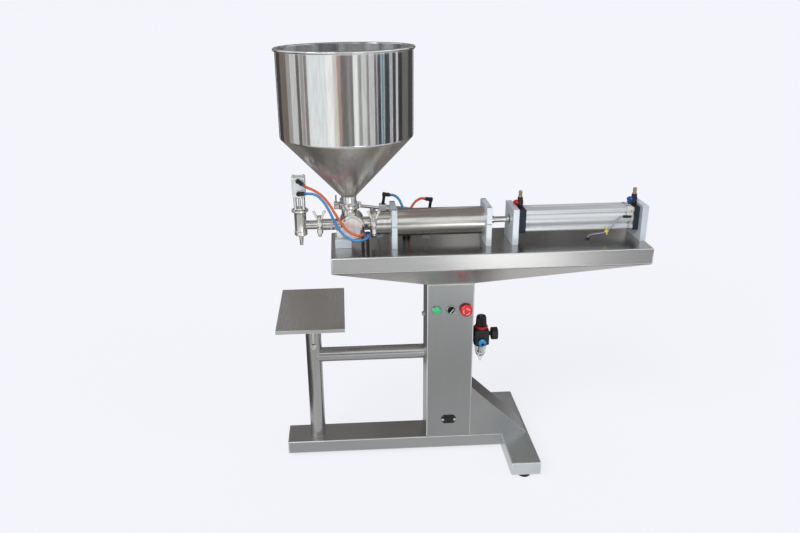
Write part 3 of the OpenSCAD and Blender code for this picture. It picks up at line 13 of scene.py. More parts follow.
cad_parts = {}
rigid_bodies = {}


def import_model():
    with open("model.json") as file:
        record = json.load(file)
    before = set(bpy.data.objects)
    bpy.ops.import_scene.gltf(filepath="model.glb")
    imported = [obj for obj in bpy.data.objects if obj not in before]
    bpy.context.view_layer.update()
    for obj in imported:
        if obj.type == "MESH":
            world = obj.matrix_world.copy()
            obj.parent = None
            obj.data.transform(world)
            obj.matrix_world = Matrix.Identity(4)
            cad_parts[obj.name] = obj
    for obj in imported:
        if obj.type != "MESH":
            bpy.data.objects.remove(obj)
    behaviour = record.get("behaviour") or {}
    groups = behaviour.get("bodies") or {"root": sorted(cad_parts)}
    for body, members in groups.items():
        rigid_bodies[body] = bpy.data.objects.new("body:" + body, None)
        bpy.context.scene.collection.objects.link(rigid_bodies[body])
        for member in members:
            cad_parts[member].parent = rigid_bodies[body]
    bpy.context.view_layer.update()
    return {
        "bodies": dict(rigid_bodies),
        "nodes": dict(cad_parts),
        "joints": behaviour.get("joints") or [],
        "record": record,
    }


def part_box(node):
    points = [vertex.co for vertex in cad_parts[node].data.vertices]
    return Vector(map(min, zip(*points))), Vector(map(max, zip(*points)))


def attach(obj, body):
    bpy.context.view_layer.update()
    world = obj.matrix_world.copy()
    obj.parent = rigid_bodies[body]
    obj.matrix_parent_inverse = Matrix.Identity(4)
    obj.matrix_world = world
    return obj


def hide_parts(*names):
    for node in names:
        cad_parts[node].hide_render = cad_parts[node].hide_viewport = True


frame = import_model()
nodes = frame["nodes"]

# %% [markdown]
# Lengths are written in millimetres, as on a workshop drawing, and turned to metres by one value. The
# places that the pieces share, such as the height of the product axis, are read from the model.

# %% Landmarks
MM = 0.001


def box_mm(node):
    """Both corners of a node's box in millimetres."""
    return [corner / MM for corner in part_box(node)]


def middle(node):
    """Centre of a node's box in millimetres."""
    low, high = box_mm(node)
    return (low + high) / 2


COLUMN = box_mm("column_shell")
COLUMN_X, FRONT_Y = middle("column_shell").x, COLUMN[0].y
TABLE_Z = box_mm("table_tray")[1].z
AXIS_Z = middle("product_barrel").z
VALVE_X = middle("valve_caps").x
HOPPER_X = middle("hopper_drum").x
FILL_X = middle("fill_plunger").x
BUTTON_Z = middle("green_button").z
print("product axis", round(AXIS_Z), "mm up, table top", round(TABLE_Z), "mm up")

# %% [markdown]
# ## Camera
# The machine was photographed from a little to its left, from above the hopper's rim, with a lens of
# ordinary width. The camera stands where the machine's straight edges line up with the photograph, and
# looks down with a slight roll. A small lens shift frames it, so the lines keep their perspective.

# %% Camera
CAMERA_PLACE = (-357 * MM, -2305 * MM, 1482 * MM)
CAMERA_YAW, CAMERA_PITCH, CAMERA_ROLL = math.radians(2.6), math.radians(21.5), math.radians(1.0)
LENS_MM, SENSOR_MM = 34.4, 36.0

ahead = Vector((
    math.sin(CAMERA_YAW) * math.cos(CAMERA_PITCH),
    math.cos(CAMERA_YAW) * math.cos(CAMERA_PITCH),
    -math.sin(CAMERA_PITCH),
))
level_right = Vector((math.cos(CAMERA_YAW), -math.sin(CAMERA_YAW), 0))
level_down = ahead.cross(level_right)
right = math.cos(CAMERA_ROLL) * level_right + math.sin(CAMERA_ROLL) * level_down
up = right.cross(ahead)

lens = bpy.data.cameras.new("camera")
lens.sensor_width, lens.lens = SENSOR_MM, LENS_MM
lens.shift_x, lens.shift_y = 0.025, 0.033
camera = bpy.data.objects.new("camera", lens)
turn = Matrix((right, up, -ahead)).transposed().to_4x4()
camera.matrix_world = Matrix.Translation(CAMERA_PLACE) @ turn
bpy.context.scene.collection.objects.link(camera)
bpy.context.scene.camera = camera
print("camera", round((middle("hopper_drum") * MM - camera.location).length, 2), "m from the hopper")

# %% [markdown]
# ## Air tubes and cable
# Polyurethane tubes of 8 mm feed the two small air cylinders, and a 4 mm cable runs from the position
# sensor into the table. Each runs between two fittings, so its length is that of its route, which the
# construction model already gives. A curve through the route's points keeps one even thickness.

# %% Cords
TUBE_MM, CABLE_MM = 8, 4
ACTUATOR_TILT = math.radians(8)
SIN, COS = math.sin(ACTUATOR_TILT), math.cos(ACTUATOR_TILT)
ACT_Y, PORT_RISE = 75, 86
FRONT_PORT, REAR_PORT = 115, 226
PORT_STRAIGHT = 10


def from_column(*points):
    """Route points in millimetres, their x measured from the column's middle."""
    return [Vector((COLUMN_X + x, y, z)) * MM for x, y, z in points]


def on_slope(along, rise):
    """The x and z of a point on the small air cylinder's slope, counted from the valve's axis."""
    return VALVE_X + along * COS + rise * SIN, AXIS_Z - along * SIN + rise * COS


def port_at(along):
    """A point on the line of the sloping air cylinder's ports."""
    x, z = on_slope(along, PORT_RISE)
    return Vector((x, ACT_Y, z)) * MM


ROUTES = {
    "air_tube_fill_close": (TUBE_MM, "orange_tubes", from_column(
        (-451, -31, 943), (-443, -31, 937), (-419, -38, 927), (-395, -50, 912), (-373, -60, 886),
        (-355, -68, 856), (-337, -76, 830), (-319, -88, 810), (-297, -98, 801), (-282, -100, 800),
        (-276, -94, 800), (-276, -84, 800))),
    "air_tube_fill_open": (TUBE_MM, "blue_tubes", from_column(
        (-447, -31, 916), (-437, -31, 916), (-417, -38, 914), (-395, -52, 899), (-377, -62, 872),
        (-362, -68, 840), (-345, -76, 810), (-324, -90, 792), (-299, -102, 785), (-277, -106, 787),
        (-263, -102, 793), (-261, -94, 794), (-261, -84, 794))),
    "air_tube_valve_front": (TUBE_MM, "blue_tubes", [
        port_at(FRONT_PORT), port_at(FRONT_PORT + PORT_STRAIGHT),
        *from_column((-159, 73, 869), (-148, 64, 852), (-141, 57, 828), (-139, 56, 795),
                     (-139, 56, 763), (-139, 56, 753))]),
    "air_tube_valve_rear": (TUBE_MM, "orange_tubes", [
        port_at(REAR_PORT), port_at(REAR_PORT - PORT_STRAIGHT),
        *from_column((-93, 74, 860), (-109, 66, 848), (-121, 57, 826), (-125, 56, 795),
                     (-125, 56, 763), (-125, 56, 753))]),
    "sensor_lead": (CABLE_MM, "sensor_cable", from_column(
        (538, -39, 817), (533, -39, 817), (525, -40, 810), (513, -41, 797), (501, -41, 782),
        (490, -40, 771), (475, -38, 765), (459, -34, 762), (447, -27, 757), (440, -21, 752),
        (439, -20, 749), (439, -20, 745))),
}


def curve_through(name, points, diameter):
    """A round curve that passes smoothly through points; its knots hold the thickness."""
    data = bpy.data.curves.new(name, "CURVE")
    data.dimensions = "3D"
    data.bevel_depth, data.bevel_resolution = 1, 5
    data.resolution_u, data.use_fill_caps = 8, True
    spline = data.splines.new("BEZIER")
    spline.bezier_points.add(len(points) - 1)
    for knot, place in zip(spline.bezier_points, points):
        knot.co, knot.radius = place, diameter * MM / 2
        knot.handle_left_type = knot.handle_right_type = "AUTO"
    made = bpy.data.objects.new(name, data)
    bpy.context.scene.collection.objects.link(made)
    return made


cords = {}
for name, (diameter, node, points) in ROUTES.items():
    cords[name] = curve_through(name, points, diameter)
    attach(cords[name], "frame")
    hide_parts(node)

# %% [markdown]
# ## Helpers for modelling
# Every piece is modelled as by hand: a primitive is added at its size and place, shaped in edit mode and
# finished with modifiers. A finished piece keeps its object at the origin, with its place in its mesh,
# so that it rides on its part of the machine and its patterns stay put.

# %% Selecting and settling
VIEW = bpy.context.view_layer


def pick(*objs):
    """Selects these objects alone, the last one active."""
    bpy.ops.object.select_all(action="DESELECT")
    for obj in objs:
        obj.select_set(True)
    VIEW.objects.active = objs[-1]


def settle(obj):
    """Puts the object's place in its mesh and shades edges of less than 30 degrees as round."""
    pick(obj)
    bpy.ops.object.transform_apply(location=True, rotation=True, scale=True)
    bpy.ops.object.shade_smooth_by_angle(angle=math.radians(30))
    return obj


def modify(obj, kind, **settings):
    """Adds a modifier and applies it."""
    pick(obj)
    added = obj.modifiers.new(kind.lower(), kind)
    for name, value in settings.items():
        setattr(added, name, value)
    bpy.ops.object.modifier_apply(modifier=added.name)
    return obj


def edges_rounded(obj, width, segments=2, angle=40):
    """Rounds the edges that turn by more than an angle, by a width in millimetres."""
    return modify(obj, "BEVEL", width=width * MM, segments=segments, angle_limit=math.radians(angle))


def joined(*objs):
    """Joins pieces of one body and one material into the last."""
    pick(*objs)
    bpy.ops.object.join()
    return VIEW.objects.active


# %% Blocks, rods and turned shapes
def block(low, high, rounding=0, segments=2):
    """A box between two corners, its edges rounded, in millimetres."""
    low, high = Vector(low) * MM, Vector(high) * MM
    bpy.ops.mesh.primitive_cube_add(size=1, location=(low + high) / 2, scale=high - low)
    obj = settle(VIEW.objects.active)
    return edges_rounded(obj, rounding, segments) if rounding else obj


def bored(obj, *tools):
    """Cuts tools out of a piece and removes them."""
    for tool in tools:
        modify(obj, "BOOLEAN", operation="DIFFERENCE", object=tool, solver="EXACT")
        bpy.data.objects.remove(tool)
    return settle(obj)


def arc(across, up, radius, start, end, steps=6):
    """Outline points on an arc between two angles in degrees."""
    angles = [math.radians(start + (end - start) * i / steps) for i in range(steps + 1)]
    return [(across + radius * math.cos(a), up + radius * math.sin(a)) for a in angles]


def placed(frame, *objs):
    """Moves pieces modelled round the origin, in millimetres, to a frame."""
    for obj in objs:
        obj.matrix_world = frame @ obj.matrix_world
        settle(obj)
    return objs[0]


def at(place, turn=(0, 0, 0)):
    """A frame at a place in millimetres, turned by degrees about x, then y, then z."""
    angles = [math.radians(a) for a in turn]
    return Matrix.Translation(Vector(place) * MM) @ Euler(angles).to_matrix().to_4x4()


def pull(obj, test, scale, centre, shift=(0, 0, 0)):
    """Scales the points that pass a test about a centre, then shifts them, in millimetres."""
    pick(obj)
    bpy.ops.object.mode_set(mode="EDIT")
    bpy.ops.mesh.select_all(action="DESELECT")
    bpy.ops.object.mode_set(mode="OBJECT")
    for point in obj.data.vertices:
        point.select = test(point.co / MM)
    bpy.ops.object.mode_set(mode="EDIT")
    bpy.ops.transform.resize(value=scale, center_override=Vector(centre) * MM)
    bpy.ops.transform.translate(value=Vector(shift) * MM)
    bpy.ops.object.mode_set(mode="OBJECT")
    return obj


WAYS = {"x": (1, 0, 0), "-x": (-1, 0, 0), "y": (0, 1, 0), "-y": (0, -1, 0), "z": (0, 0, 1)}


def way_of(direction):
    """A direction given by its letter or by three numbers."""
    return Vector(WAYS[direction] if isinstance(direction, str) else direction).normalized()


def aim(direction):
    """The turn that points a shape's own z along a direction."""
    return way_of(direction).to_track_quat("Z", "Y").to_euler()


def rod(base, direction, radius, length, corners=48):
    """A closed rod from its base, sizes in millimetres."""
    middle_at = Vector(base) + way_of(direction) * length / 2
    bpy.ops.mesh.primitive_cylinder_add(
        vertices=corners, radius=radius * MM, depth=length * MM,
        location=middle_at * MM, rotation=aim(direction),
    )
    return settle(VIEW.objects.active)


def outlined(points):
    """A chain of edges through points in millimetres, selected and still in edit mode."""
    bpy.ops.mesh.primitive_plane_add(size=1 * MM, location=(0, 0, 0))
    obj = VIEW.objects.active
    bpy.ops.object.mode_set(mode="EDIT")
    bpy.ops.mesh.select_all(action="SELECT")
    bpy.ops.mesh.merge(type="CENTER")
    bpy.ops.transform.translate(value=Vector(points[0]) * MM)
    for before, after in zip(points, points[1:]):
        step = (Vector(after) - Vector(before)) * MM
        bpy.ops.mesh.extrude_region_move(TRANSFORM_OT_translate={"value": step})
    bpy.ops.mesh.select_all(action="SELECT")
    return obj


def prism(outline, start, end, axis="y", rounding=0, segments=2):
    """A flat outline in millimetres, pushed along an axis from start to end, its edges rounded."""
    def turn(*place):
        return [place[i] for i in {"x": (2, 0, 1), "y": (0, 2, 1), "z": (0, 1, 2)}[axis]]

    obj = outlined([turn(a, b, start) for a, b in [*outline, outline[0]]])
    bpy.ops.mesh.remove_doubles(threshold=0.001 * MM)
    bpy.ops.mesh.edge_face_add()
    step = Vector(turn(0, 0, end - start)) * MM
    bpy.ops.mesh.extrude_region_move(TRANSFORM_OT_translate={"value": step})
    bpy.ops.mesh.select_all(action="SELECT")
    bpy.ops.mesh.normals_make_consistent(inside=False)
    bpy.ops.object.mode_set(mode="OBJECT")
    settle(obj)
    return edges_rounded(obj, rounding, segments) if rounding else obj


def turned(base, direction, outline, steps=64):
    """A shape turned on a lathe; its closed outline gives radius and height from the base."""
    obj = outlined([(radius, 0, height) for radius, height in [*outline, outline[0]]])
    bpy.ops.mesh.spin(steps=steps, angle=2 * math.pi, center=(0, 0, 0), axis=(0, 0, 1))
    bpy.ops.mesh.select_all(action="SELECT")
    bpy.ops.mesh.remove_doubles(threshold=0.01 * MM)
    bpy.ops.mesh.normals_make_consistent(inside=False)
    bpy.ops.object.mode_set(mode="OBJECT")
    obj.location, obj.rotation_euler = Vector(base) * MM, aim(direction)
    return settle(obj)

# %% [markdown]
# A finished piece gets its material, rides on a body of the machine, and hides the construction piece
# it stands for. A construction piece whose shape is right keeps it and only gets a material.

# %% Dressing pieces
def dress(name, made, material, node=None, body="frame"):
    """Joins and names a finished piece, gives it a material and puts it on its body."""
    obj = settle(joined(*made)) if isinstance(made, list) else made
    obj.name = obj.data.name = name
    obj.data.materials.clear()
    obj.data.materials.append(material)
    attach(obj, body)
    if node:
        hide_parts(node)
    return obj


def finish_node(material, *names):
    """Gives construction pieces a material and leaves their shape alone."""
    for name in names:
        nodes[name].data.materials.clear()
        nodes[name].data.materials.append(material)

# %% [markdown]
# ## Materials
# Each material is built from what the real one is and how its surface was made. Colours are written as
# on a colour card and turned to linear light by one function. Pattern scales come from real sizes: a
# noise of scale S on object coordinates repeats about every 1 / S metres.

# %% Colour and nodes
def colour(code):
    """An sRGB hex code as linear red, green, blue and alpha."""
    parts = [int(code[i:i + 2], 16) / 255 for i in (1, 3, 5)]
    return [p / 12.92 if p <= 0.04045 else ((p + 0.055) / 1.055) ** 2.4 for p in parts] + [1]


def add(material, kind, inputs=None, **settings):
    """Adds a node with its settings; an input takes a value or another node's output."""
    made = material.node_tree.nodes.new(kind)
    for name, value in settings.items():
        setattr(made, name, value)
    for socket, value in (inputs or {}).items():
        if isinstance(value, bpy.types.NodeSocket):
            material.node_tree.links.new(value, made.inputs[socket])
        else:
            made.inputs[socket].default_value = value
    return made


def new_material(name, **shader):
    """A material with one surface shader, whose plain sockets are given by name."""
    made = bpy.data.materials.new(name)
    made.use_nodes = True
    made.node_tree.nodes.clear()
    surface = add(made, "ShaderNodeBsdfPrincipled", {k.replace("_", " "): v for k, v in shader.items()})
    add(made, "ShaderNodeOutputMaterial", {"Surface": surface.outputs[0]})
    return made, surface


def link(material, output, shader, socket):
    material.node_tree.links.new(output, shader.inputs[socket])


def repeats(size_mm):
    """The scale of a pattern that repeats every so many millimetres."""
    return 1 / (size_mm * MM)


def stretched(material, along, length_mm, width_mm):
    """Object coordinates squeezed so that a pattern runs along x, y or z."""
    place = add(material, "ShaderNodeTexCoord")
    scale = [repeats(length_mm if axis == along else width_mm) for axis in "xyz"]
    inputs = {"Vector": place.outputs["Object"], "Scale": scale}
    return add(material, "ShaderNodeMapping", inputs).outputs[0]


def noise(material, along, length_mm, width_mm, detail, **more):
    """A pattern that runs along x, y or z and repeats at a length and a width."""
    place = stretched(material, along, length_mm, width_mm)
    inputs = {"Vector": place, "Scale": 1.0, "Detail": detail, **more}
    return add(material, "ShaderNodeTexNoise", inputs).outputs["Fac"]


def raised(material, surface, height, strength, rise_mm):
    """Makes a pattern stand up from the surface."""
    bump = add(material, "ShaderNodeBump", {
        "Height": height, "Strength": strength, "Distance": rise_mm * MM})
    link(material, bump.outputs[0], surface, "Normal")


def spread(material, factor, low, high):
    """Turns a factor of 0 to 1 into a value from low to high."""
    return add(material, "ShaderNodeMapRange", {"Value": factor, "To Min": low, "To Max": high}).outputs[0]


def tones(material, factor, *stops):
    """A ramp of hex colours over a factor."""
    ramp = add(material, "ShaderNodeValToRGB", {"Fac": factor})
    ends = ramp.color_ramp.elements
    while len(ends) < len(stops):
        ends.new(0.5)
    for end, (place, code) in zip(ends, stops):
        end.position, end.color = place, colour(code)
    return ramp.outputs[0]

# %% [markdown]
# Brushed stainless steel is sheet that was drawn under an abrasive belt. The belt leaves scratches of a
# few tenths of a millimetre along one direction, so highlights smear across them. They are drawn about
# a millimetre wide here, because finer ones don't show from this distance.

# %% Brushed and satin stainless
def brushed_steel(name, along, dark, light, roughness=0.32):
    made, surface = new_material(name, Metallic=1.0)
    scratches = noise(made, along, 160, 1.1, 4.0, Roughness=0.6)
    clouds = noise(made, along, 420, 130, 2.0)
    both = add(made, "ShaderNodeMix", {"Factor": 0.45, "A": scratches, "B": clouds}, data_type="FLOAT")
    link(made, tones(made, both.outputs[0], (0.3, dark), (0.7, light)), surface, "Base Color")
    link(made, spread(made, both.outputs[0], roughness - 0.07, roughness + 0.07), surface, "Roughness")
    raised(made, surface, scratches, 0.25, 0.12)
    return made


column_steel = brushed_steel("stainless_brushed_upright", "z", "#999B9B", "#A3A5A5")
beam_steel = brushed_steel("stainless_brushed_along", "x", "#A3A4A4", "#B6B7B7")
table_steel = brushed_steel("stainless_satin_table", "x", "#A2A2A1", "#B6B6B5", roughness=0.24)
pan_steel = brushed_steel("stainless_satin_pan", "x", "#C6C2C0", "#D6D3D1", roughness=0.3)
cross_steel = brushed_steel("stainless_brushed_across", "y", "#D2D8DC", "#E4E9EC")
gusset_steel = brushed_steel("stainless_brushed_stiffener", "y", "#9A9A9A", "#ACACAC")
post_steel = brushed_steel("stainless_tube_ground", "z", "#A8A8A7", "#BABAB9", roughness=0.22)
weld_steel = brushed_steel("stainless_weld_ground", "x", "#A9A49C", "#BDB9B2", roughness=0.3)
tray_steel = brushed_steel("stainless_satin_tray", "y", "#B8B9B9", "#CBCCCC", roughness=0.26)

# %% [markdown]
# The hopper, valve and pipes are polished with a cloth wheel. They act as mirrors, with a faint haze and
# slight waves from rolling the sheet, which bend the reflected room into streaks along the wall.

# %% Polished stainless
def polished_steel(name, dark, light, roughness, wave_mm, wave_strength, along="z", haze_mm=(60, 6),
                   metallic=1.0):
    made, surface = new_material(name, Metallic=metallic)
    waves = noise(made, along, 900, wave_mm, 1.0)
    haze = noise(made, along, *haze_mm, 3.0)
    link(made, tones(made, haze, (0.35, dark), (0.65, light)), surface, "Base Color")
    link(made, spread(made, haze, roughness * 0.7, roughness * 1.3), surface, "Roughness")
    raised(made, surface, waves, wave_strength, 1)
    return made


hopper_steel = polished_steel("stainless_mirror_polished", "#D4D5D5", "#E0E1E1", 0.09, 30, 0.3)
cone_steel = polished_steel("stainless_polished_cone", "#D6D2CA", "#E6E2DB", 0.22, 40, 0.2, metallic=0.8)
# The inside steel is painted lighter, up to white: painted light for the hollow.
hopper_inside_painted_light = polished_steel("stainless_inside_painted_light", "#A4A9AA", "#FFFFFF", 0.2, 22, 0.3,
                               haze_mm=(1200, 40), metallic=0.75)
valve_steel = polished_steel("stainless_polished", "#CFCECB", "#DDDCD9", 0.14, 14, 0.08)
barrel_steel = polished_steel("stainless_polished_tube", "#C6C4C0", "#D4D2CE", 0.2, 30, 0.06, along="x")
cap_steel = polished_steel("stainless_matt_cap", "#E2DDD9", "#F0ECE8", 0.42, 30, 0.2, metallic=0.7)
bright_steel = polished_steel("steel_ground_bright", "#CDCDCB", "#DCDCDA", 0.18, 8, 0.05)

# %% [markdown]
# The plates and blocks are aluminium that was bead blasted and then anodised clear: pale, fine grained
# and almost matt. The air cylinder is an extruded profile, anodised silver, with faint lines from the die.


# %% Aluminium
def aluminium(name, dark, light, roughness, along, length_mm, width_mm, metallic=0.45):
    made, surface = new_material(name, Metallic=metallic)
    grain = noise(made, along, length_mm, width_mm, 3.0)
    link(made, tones(made, grain, (0.3, dark), (0.7, light)), surface, "Base Color")
    link(made, spread(made, grain, roughness - 0.05, roughness + 0.05), surface, "Roughness")
    raised(made, surface, grain, 0.08, 0.1)
    return made


blasted_aluminium = aluminium("aluminium_blasted_anodised", "#DAE4EC", "#E9F1F6", 0.34, "z", 2, 2)
silver_profile = aluminium("aluminium_anodised_profile", "#D6DADD", "#E6E9EB", 0.3, "x", 300, 1.6,
                           metallic=0.5)
silver_block = aluminium("aluminium_anodised_block", "#EEF4F8", "#FAFDFF", 0.34, "z", 80, 1.6)

# %% [markdown]
# The plastics are moulded or extruded. A moulded housing has a fine spark-eroded texture that dulls its
# gloss; a push button's cap is glossy; the air tubes are clear tinted polyurethane, so light passes
# through their walls.

# %% Plastics, rubber and brass
def moulded(name, code, roughness, grain_mm=0.8, bump=0.15, **shader):
    made, surface = new_material(name, **shader)
    place = add(made, "ShaderNodeTexCoord").outputs["Object"]
    grain = add(made, "ShaderNodeTexNoise", {
        "Vector": place, "Scale": repeats(grain_mm), "Detail": 2.0}).outputs["Fac"]
    base = add(made, "ShaderNodeHueSaturation", {
        "Color": colour(code), "Value": spread(made, grain, 0.9, 1.1)})
    link(made, base.outputs[0], surface, "Base Color")
    link(made, spread(made, grain, roughness - 0.05, roughness + 0.05), surface, "Roughness")
    raised(made, surface, grain, bump, 0.05)
    return made


black_moulding = moulded("nylon_black_moulded", "#101113", 0.34)
dark_head = moulded("aluminium_black_anodised", "#26343B", 0.4, Metallic=0.6)
gloss_black = moulded("abs_black_gloss", "#0C0C0E", 0.17, bump=0.03)
foot_rubber = moulded("rubber_black", "#191919", 0.7, grain_mm=1.5, bump=0.4)
green_cap = moulded("abs_green_gloss", "#2CE28A", 0.2, bump=0.02, Coat_Weight=0.3)
red_cap = moulded("abs_red_gloss", "#F6141F", 0.26, bump=0.02, Coat_Weight=0.3)
pale_mark = moulded("paint_white", "#E8E6E6", 0.4, bump=0.02)
pink_mark = moulded("paint_pale_pink", "#FFD6D8", 0.4, bump=0.02)
red_ring = moulded("acetal_red", "#C8161C", 0.35, bump=0.05)
blue_ring = moulded("acetal_blue", "#1F5FC4", 0.3, bump=0.05)
port_blue = moulded("acetal_light_blue", "#39A0DC", 0.22, bump=0.03)
white_plastic = moulded("acetal_white", "#E4E3DC", 0.4, bump=0.05)
yellow_tie = moulded("nylon_yellow", "#E8E04A", 0.4, bump=0.05)
cable_jacket = moulded("pvc_grey_jacket", "#9C9CAA", 0.5, bump=0.1)
brass = moulded("brass_plated", "#B09A80", 0.25, bump=0.05, Metallic=1.0)
tinted = {"bump": 0.02, "Transmission_Weight": 0.25, "Coat_Weight": 0.2}
orange_tube = moulded("polyurethane_orange", "#F0682A", 0.25, **tinted)
blue_tube = moulded("polyurethane_blue", "#3E9FE0", 0.25, **tinted)
clear_bowl = moulded("polycarbonate_clear", "#EEF1EE", 0.06, bump=0.02, Transmission_Weight=0.92, IOR=1.58)
gauge_glass = moulded("acrylic_clear", "#FFFFFF", 0.05, bump=0.0, Transmission_Weight=1.0, IOR=1.49)
print("materials:", len(bpy.data.materials))

# %% [markdown]
# ## Floor and light
# The machine stands on a wide pale floor that runs on behind it. A soft sky lights all of it, a large
# lamp high on the left gives the shapes their form, and a weaker one fills from the right. Polished
# steel only shows what stands round it, so upright dark and light cards stand round the machine, out of
# the camera's view. They are seen in reflections alone, and give the hopper its bands.

# %% Floor and world
PAPER, FLOOR_GLOW, SKY_LIGHT = "#F4F4FA", 0.815, 0.55


def plain(name, code, roughness=0.6, glow=0.0):
    """A floor or card material: matt, and glowing by itself at a strength."""
    made, surface = new_material(name, Roughness=roughness)
    surface.inputs["Base Color"].default_value = colour(code)
    surface.inputs["Emission Color"].default_value = colour(code)
    surface.inputs["Emission Strength"].default_value = glow
    return made, surface


def seen_or_mirrored(material):
    """One for rays from the camera, from gloss and through glass, and zero for all others."""
    path = add(material, "ShaderNodeLightPath")
    mirrored = add(material, "ShaderNodeMath", {
        0: path.outputs["Is Camera Ray"], 1: path.outputs["Is Glossy Ray"]}, operation="MAXIMUM")
    return add(material, "ShaderNodeMath", {
        0: mirrored.outputs[0], 1: path.outputs["Is Transmission Ray"]}, operation="MAXIMUM").outputs[0]


paper, paper_surface = plain("paper_pale", PAPER, roughness=0.9)
paper_surface.inputs["Base Color"].default_value = colour("#7C7C80")
paper_surface.inputs["Specular IOR Level"].default_value = 0.0
glow = add(paper, "ShaderNodeMath", {0: seen_or_mirrored(paper), 1: FLOOR_GLOW}, operation="MULTIPLY")
link(paper, glow.outputs[0], paper_surface, "Emission Strength")
bpy.ops.object.select_all(action="DESELECT")
bpy.ops.mesh.primitive_plane_add(size=200, location=(0, 0, 0))
floor = settle(VIEW.objects.active)
floor.name = "floor"
floor.data.materials.append(paper)

world = bpy.data.worlds.new("studio")
bpy.context.scene.world = world
world.use_nodes = True
sky = world.node_tree.nodes["Background"]
sky.inputs["Color"].default_value = colour(PAPER)
sky_level = add(world, "ShaderNodeMapRange", {
    "Value": seen_or_mirrored(world), "To Min": SKY_LIGHT, "To Max": 1.0})
world.node_tree.links.new(sky_level.outputs[0], sky.inputs["Strength"])
bpy.context.scene.view_settings.view_transform = "Standard"


# %% Lamps and cards
def lamp(name, place, target, angle, strength):
    """A wide, far lamp whose light falls evenly over the whole floor."""
    data = bpy.data.lights.new(name, "SUN")
    data.angle, data.energy = math.radians(angle), strength
    made = bpy.data.objects.new(name, data)
    made.location = place
    made.rotation_euler = (Vector(target) - Vector(place)).to_track_quat("-Z", "Y").to_euler()
    bpy.context.scene.collection.objects.link(made)
    return made


CENTRE = Vector((0, 0, 0.75))
lamp("key", (-2.4, -2.6, 3.4), CENTRE, 40, 1.5)
lamp("fill", (3.0, -2.2, 2.2), CENTRE, 50, 0.6)


def card(name, low, high, spin, code, glow=1.0):
    """A card between two corners, turned about the hopper's axis and seen only in reflections."""
    bpy.ops.object.select_all(action="DESELECT")
    low, high = Vector(low), Vector(high)
    bpy.ops.mesh.primitive_plane_add(size=1, rotation=(math.pi / 2 if low.y == high.y else 0, 0, 0))
    made = VIEW.objects.active
    size = high - low
    made.scale = (size.x, size.z or size.y, 1)
    made.location = (low + high) / 2
    settle(made)
    if low.y == high.y:
        made.rotation_euler.z, made.location.x = math.radians(spin), HOPPER_X * MM
        settle(made)
    made.name = name
    material, surface = plain(name, code, glow=glow)
    surface.inputs["Base Color"].default_value = colour("#000000")
    made.data.materials.append(material)
    made.visible_camera = made.visible_shadow = made.visible_diffuse = False
    made.visible_transmission = made.visible_volume_scatter = False


NEAR_TENT, FAR_TENT, BAND_REACH = 2.0, 3.4, (0.42, 1.25)
BANDS = (
    (-129, -107, "#7A6E64"), (-107, -96, "#A9A6A3"), (-95, -84, "#D9D8D6"),
    (-83, -76, "#6B6560"), (-75, -68, "#ABA6A1"), (-67, -61, "#8A847F"),
    (-60, -30, "#F6FBFB"), (-30, -19, "#FFFFFF", 1.1), (-19, -12, "#EADFD8"),
    (-12, -7, "#B8A093"), (-7, 3, "#7B7776"), (3, 8, "#9A9896"), (8, 12, "#7A7876"),
    (13, 20, "#F4F8F4", 1.15), (20, 25, "#A3A2A0"), (26, 33, "#E2E2E0"), (33, 37, "#8D8C8A"),
    (38, 45, "#D5D5D2"), (46, 50, "#6A6C6E"), (51, 58, "#3C4042"), (59, 63, "#6E97A6"),
    (64, 74, "#3A3E41"), (75, 79, "#B4B9BC"), (80, 88, "#3A3533"), (89, 92, "#D9DADB"),
    (93, 104, "#2C2A2A"), (104, 123, "#6E6C6A"),
)
BACK_BANDS = (
    (124, 152, 0.02, 1.4, "#3B3A3A"), (154, 206, 0.02, 1.4, "#5B5854"), (208, 230, 0.02, 1.4, "#3B3A3A"),
    (124, 140, 1.42, 4.2, "#7C7874"), (141, 144, 1.42, 4.2, "#E8E8E8"), (145, 163, 1.42, 4.2, "#4E4A45"),
    (164, 166, 1.42, 4.2, "#A9A6A2"), (167, 178, 1.42, 4.2, "#55504A"), (179, 190, 1.42, 4.2, "#8F8A85"),
    (191, 212, 1.42, 4.2, "#75706B"), (213, 230, 1.42, 4.2, "#A5A29F"),
    (-62, 70, 1.56, 3.6, "#F0F2F4", 1.15),
)
FLOOR_CARDS = (
    (-5.0, 5.0, -5.0, 5.0, 0.006, "#CFCFD0"),
    (-5.0, 0.25, -1.75, -0.5, 0.008, "#C3C3C3"),
    (0.25, 5.0, -1.75, -0.5, 0.008, "#CDCFD1"),
    (-5.0, 0.32, -4.5, -1.8, 0.010, "#E6E8EA", 1.15),
    (0.32, 0.95, -4.5, -1.8, 0.012, "#FFFFFF", 3.2),
    (0.95, 5.0, -4.5, -1.8, 0.010, "#B9BABB"),
    (-5.0, -0.75, -0.45, 0.6, 0.008, "#3B3A38"),
    (-5.0, 5.0, 0.6, 5.0, 0.008, "#6E6C69"),
)
standing = [(NEAR_TENT, start, end, *BAND_REACH, *look) for start, end, *look in BANDS]
standing += [(FAR_TENT, *band) for band in BACK_BANDS]
for i, (away, start, end, low, high, *look) in enumerate(standing):
    steps = max(1, round((end - start) / 20))
    for k in range(steps):
        turn = start + (end - start) * (k + 0.5) / steps
        half = away * math.tan(math.radians((end - start) / steps / 2))
        card(f"card_{i}_{k}", (-half, -away, low), (half, -away, high), turn, *look)
for i, (start, end, near, far, rise, *look) in enumerate(FLOOR_CARDS):
    card(f"card_floor_{i}", (start, near, rise), (end, far, rise), 0, *look)
card("card_ceiling", (-3.2, -3.2, 4.3), (3.2, 3.2, 4.3), 0, "#8E8882")
print("lamps and cards stand")

# %% [markdown]
# ## Construction pieces
# Pieces whose shape is already right keep it and only get their real finish.

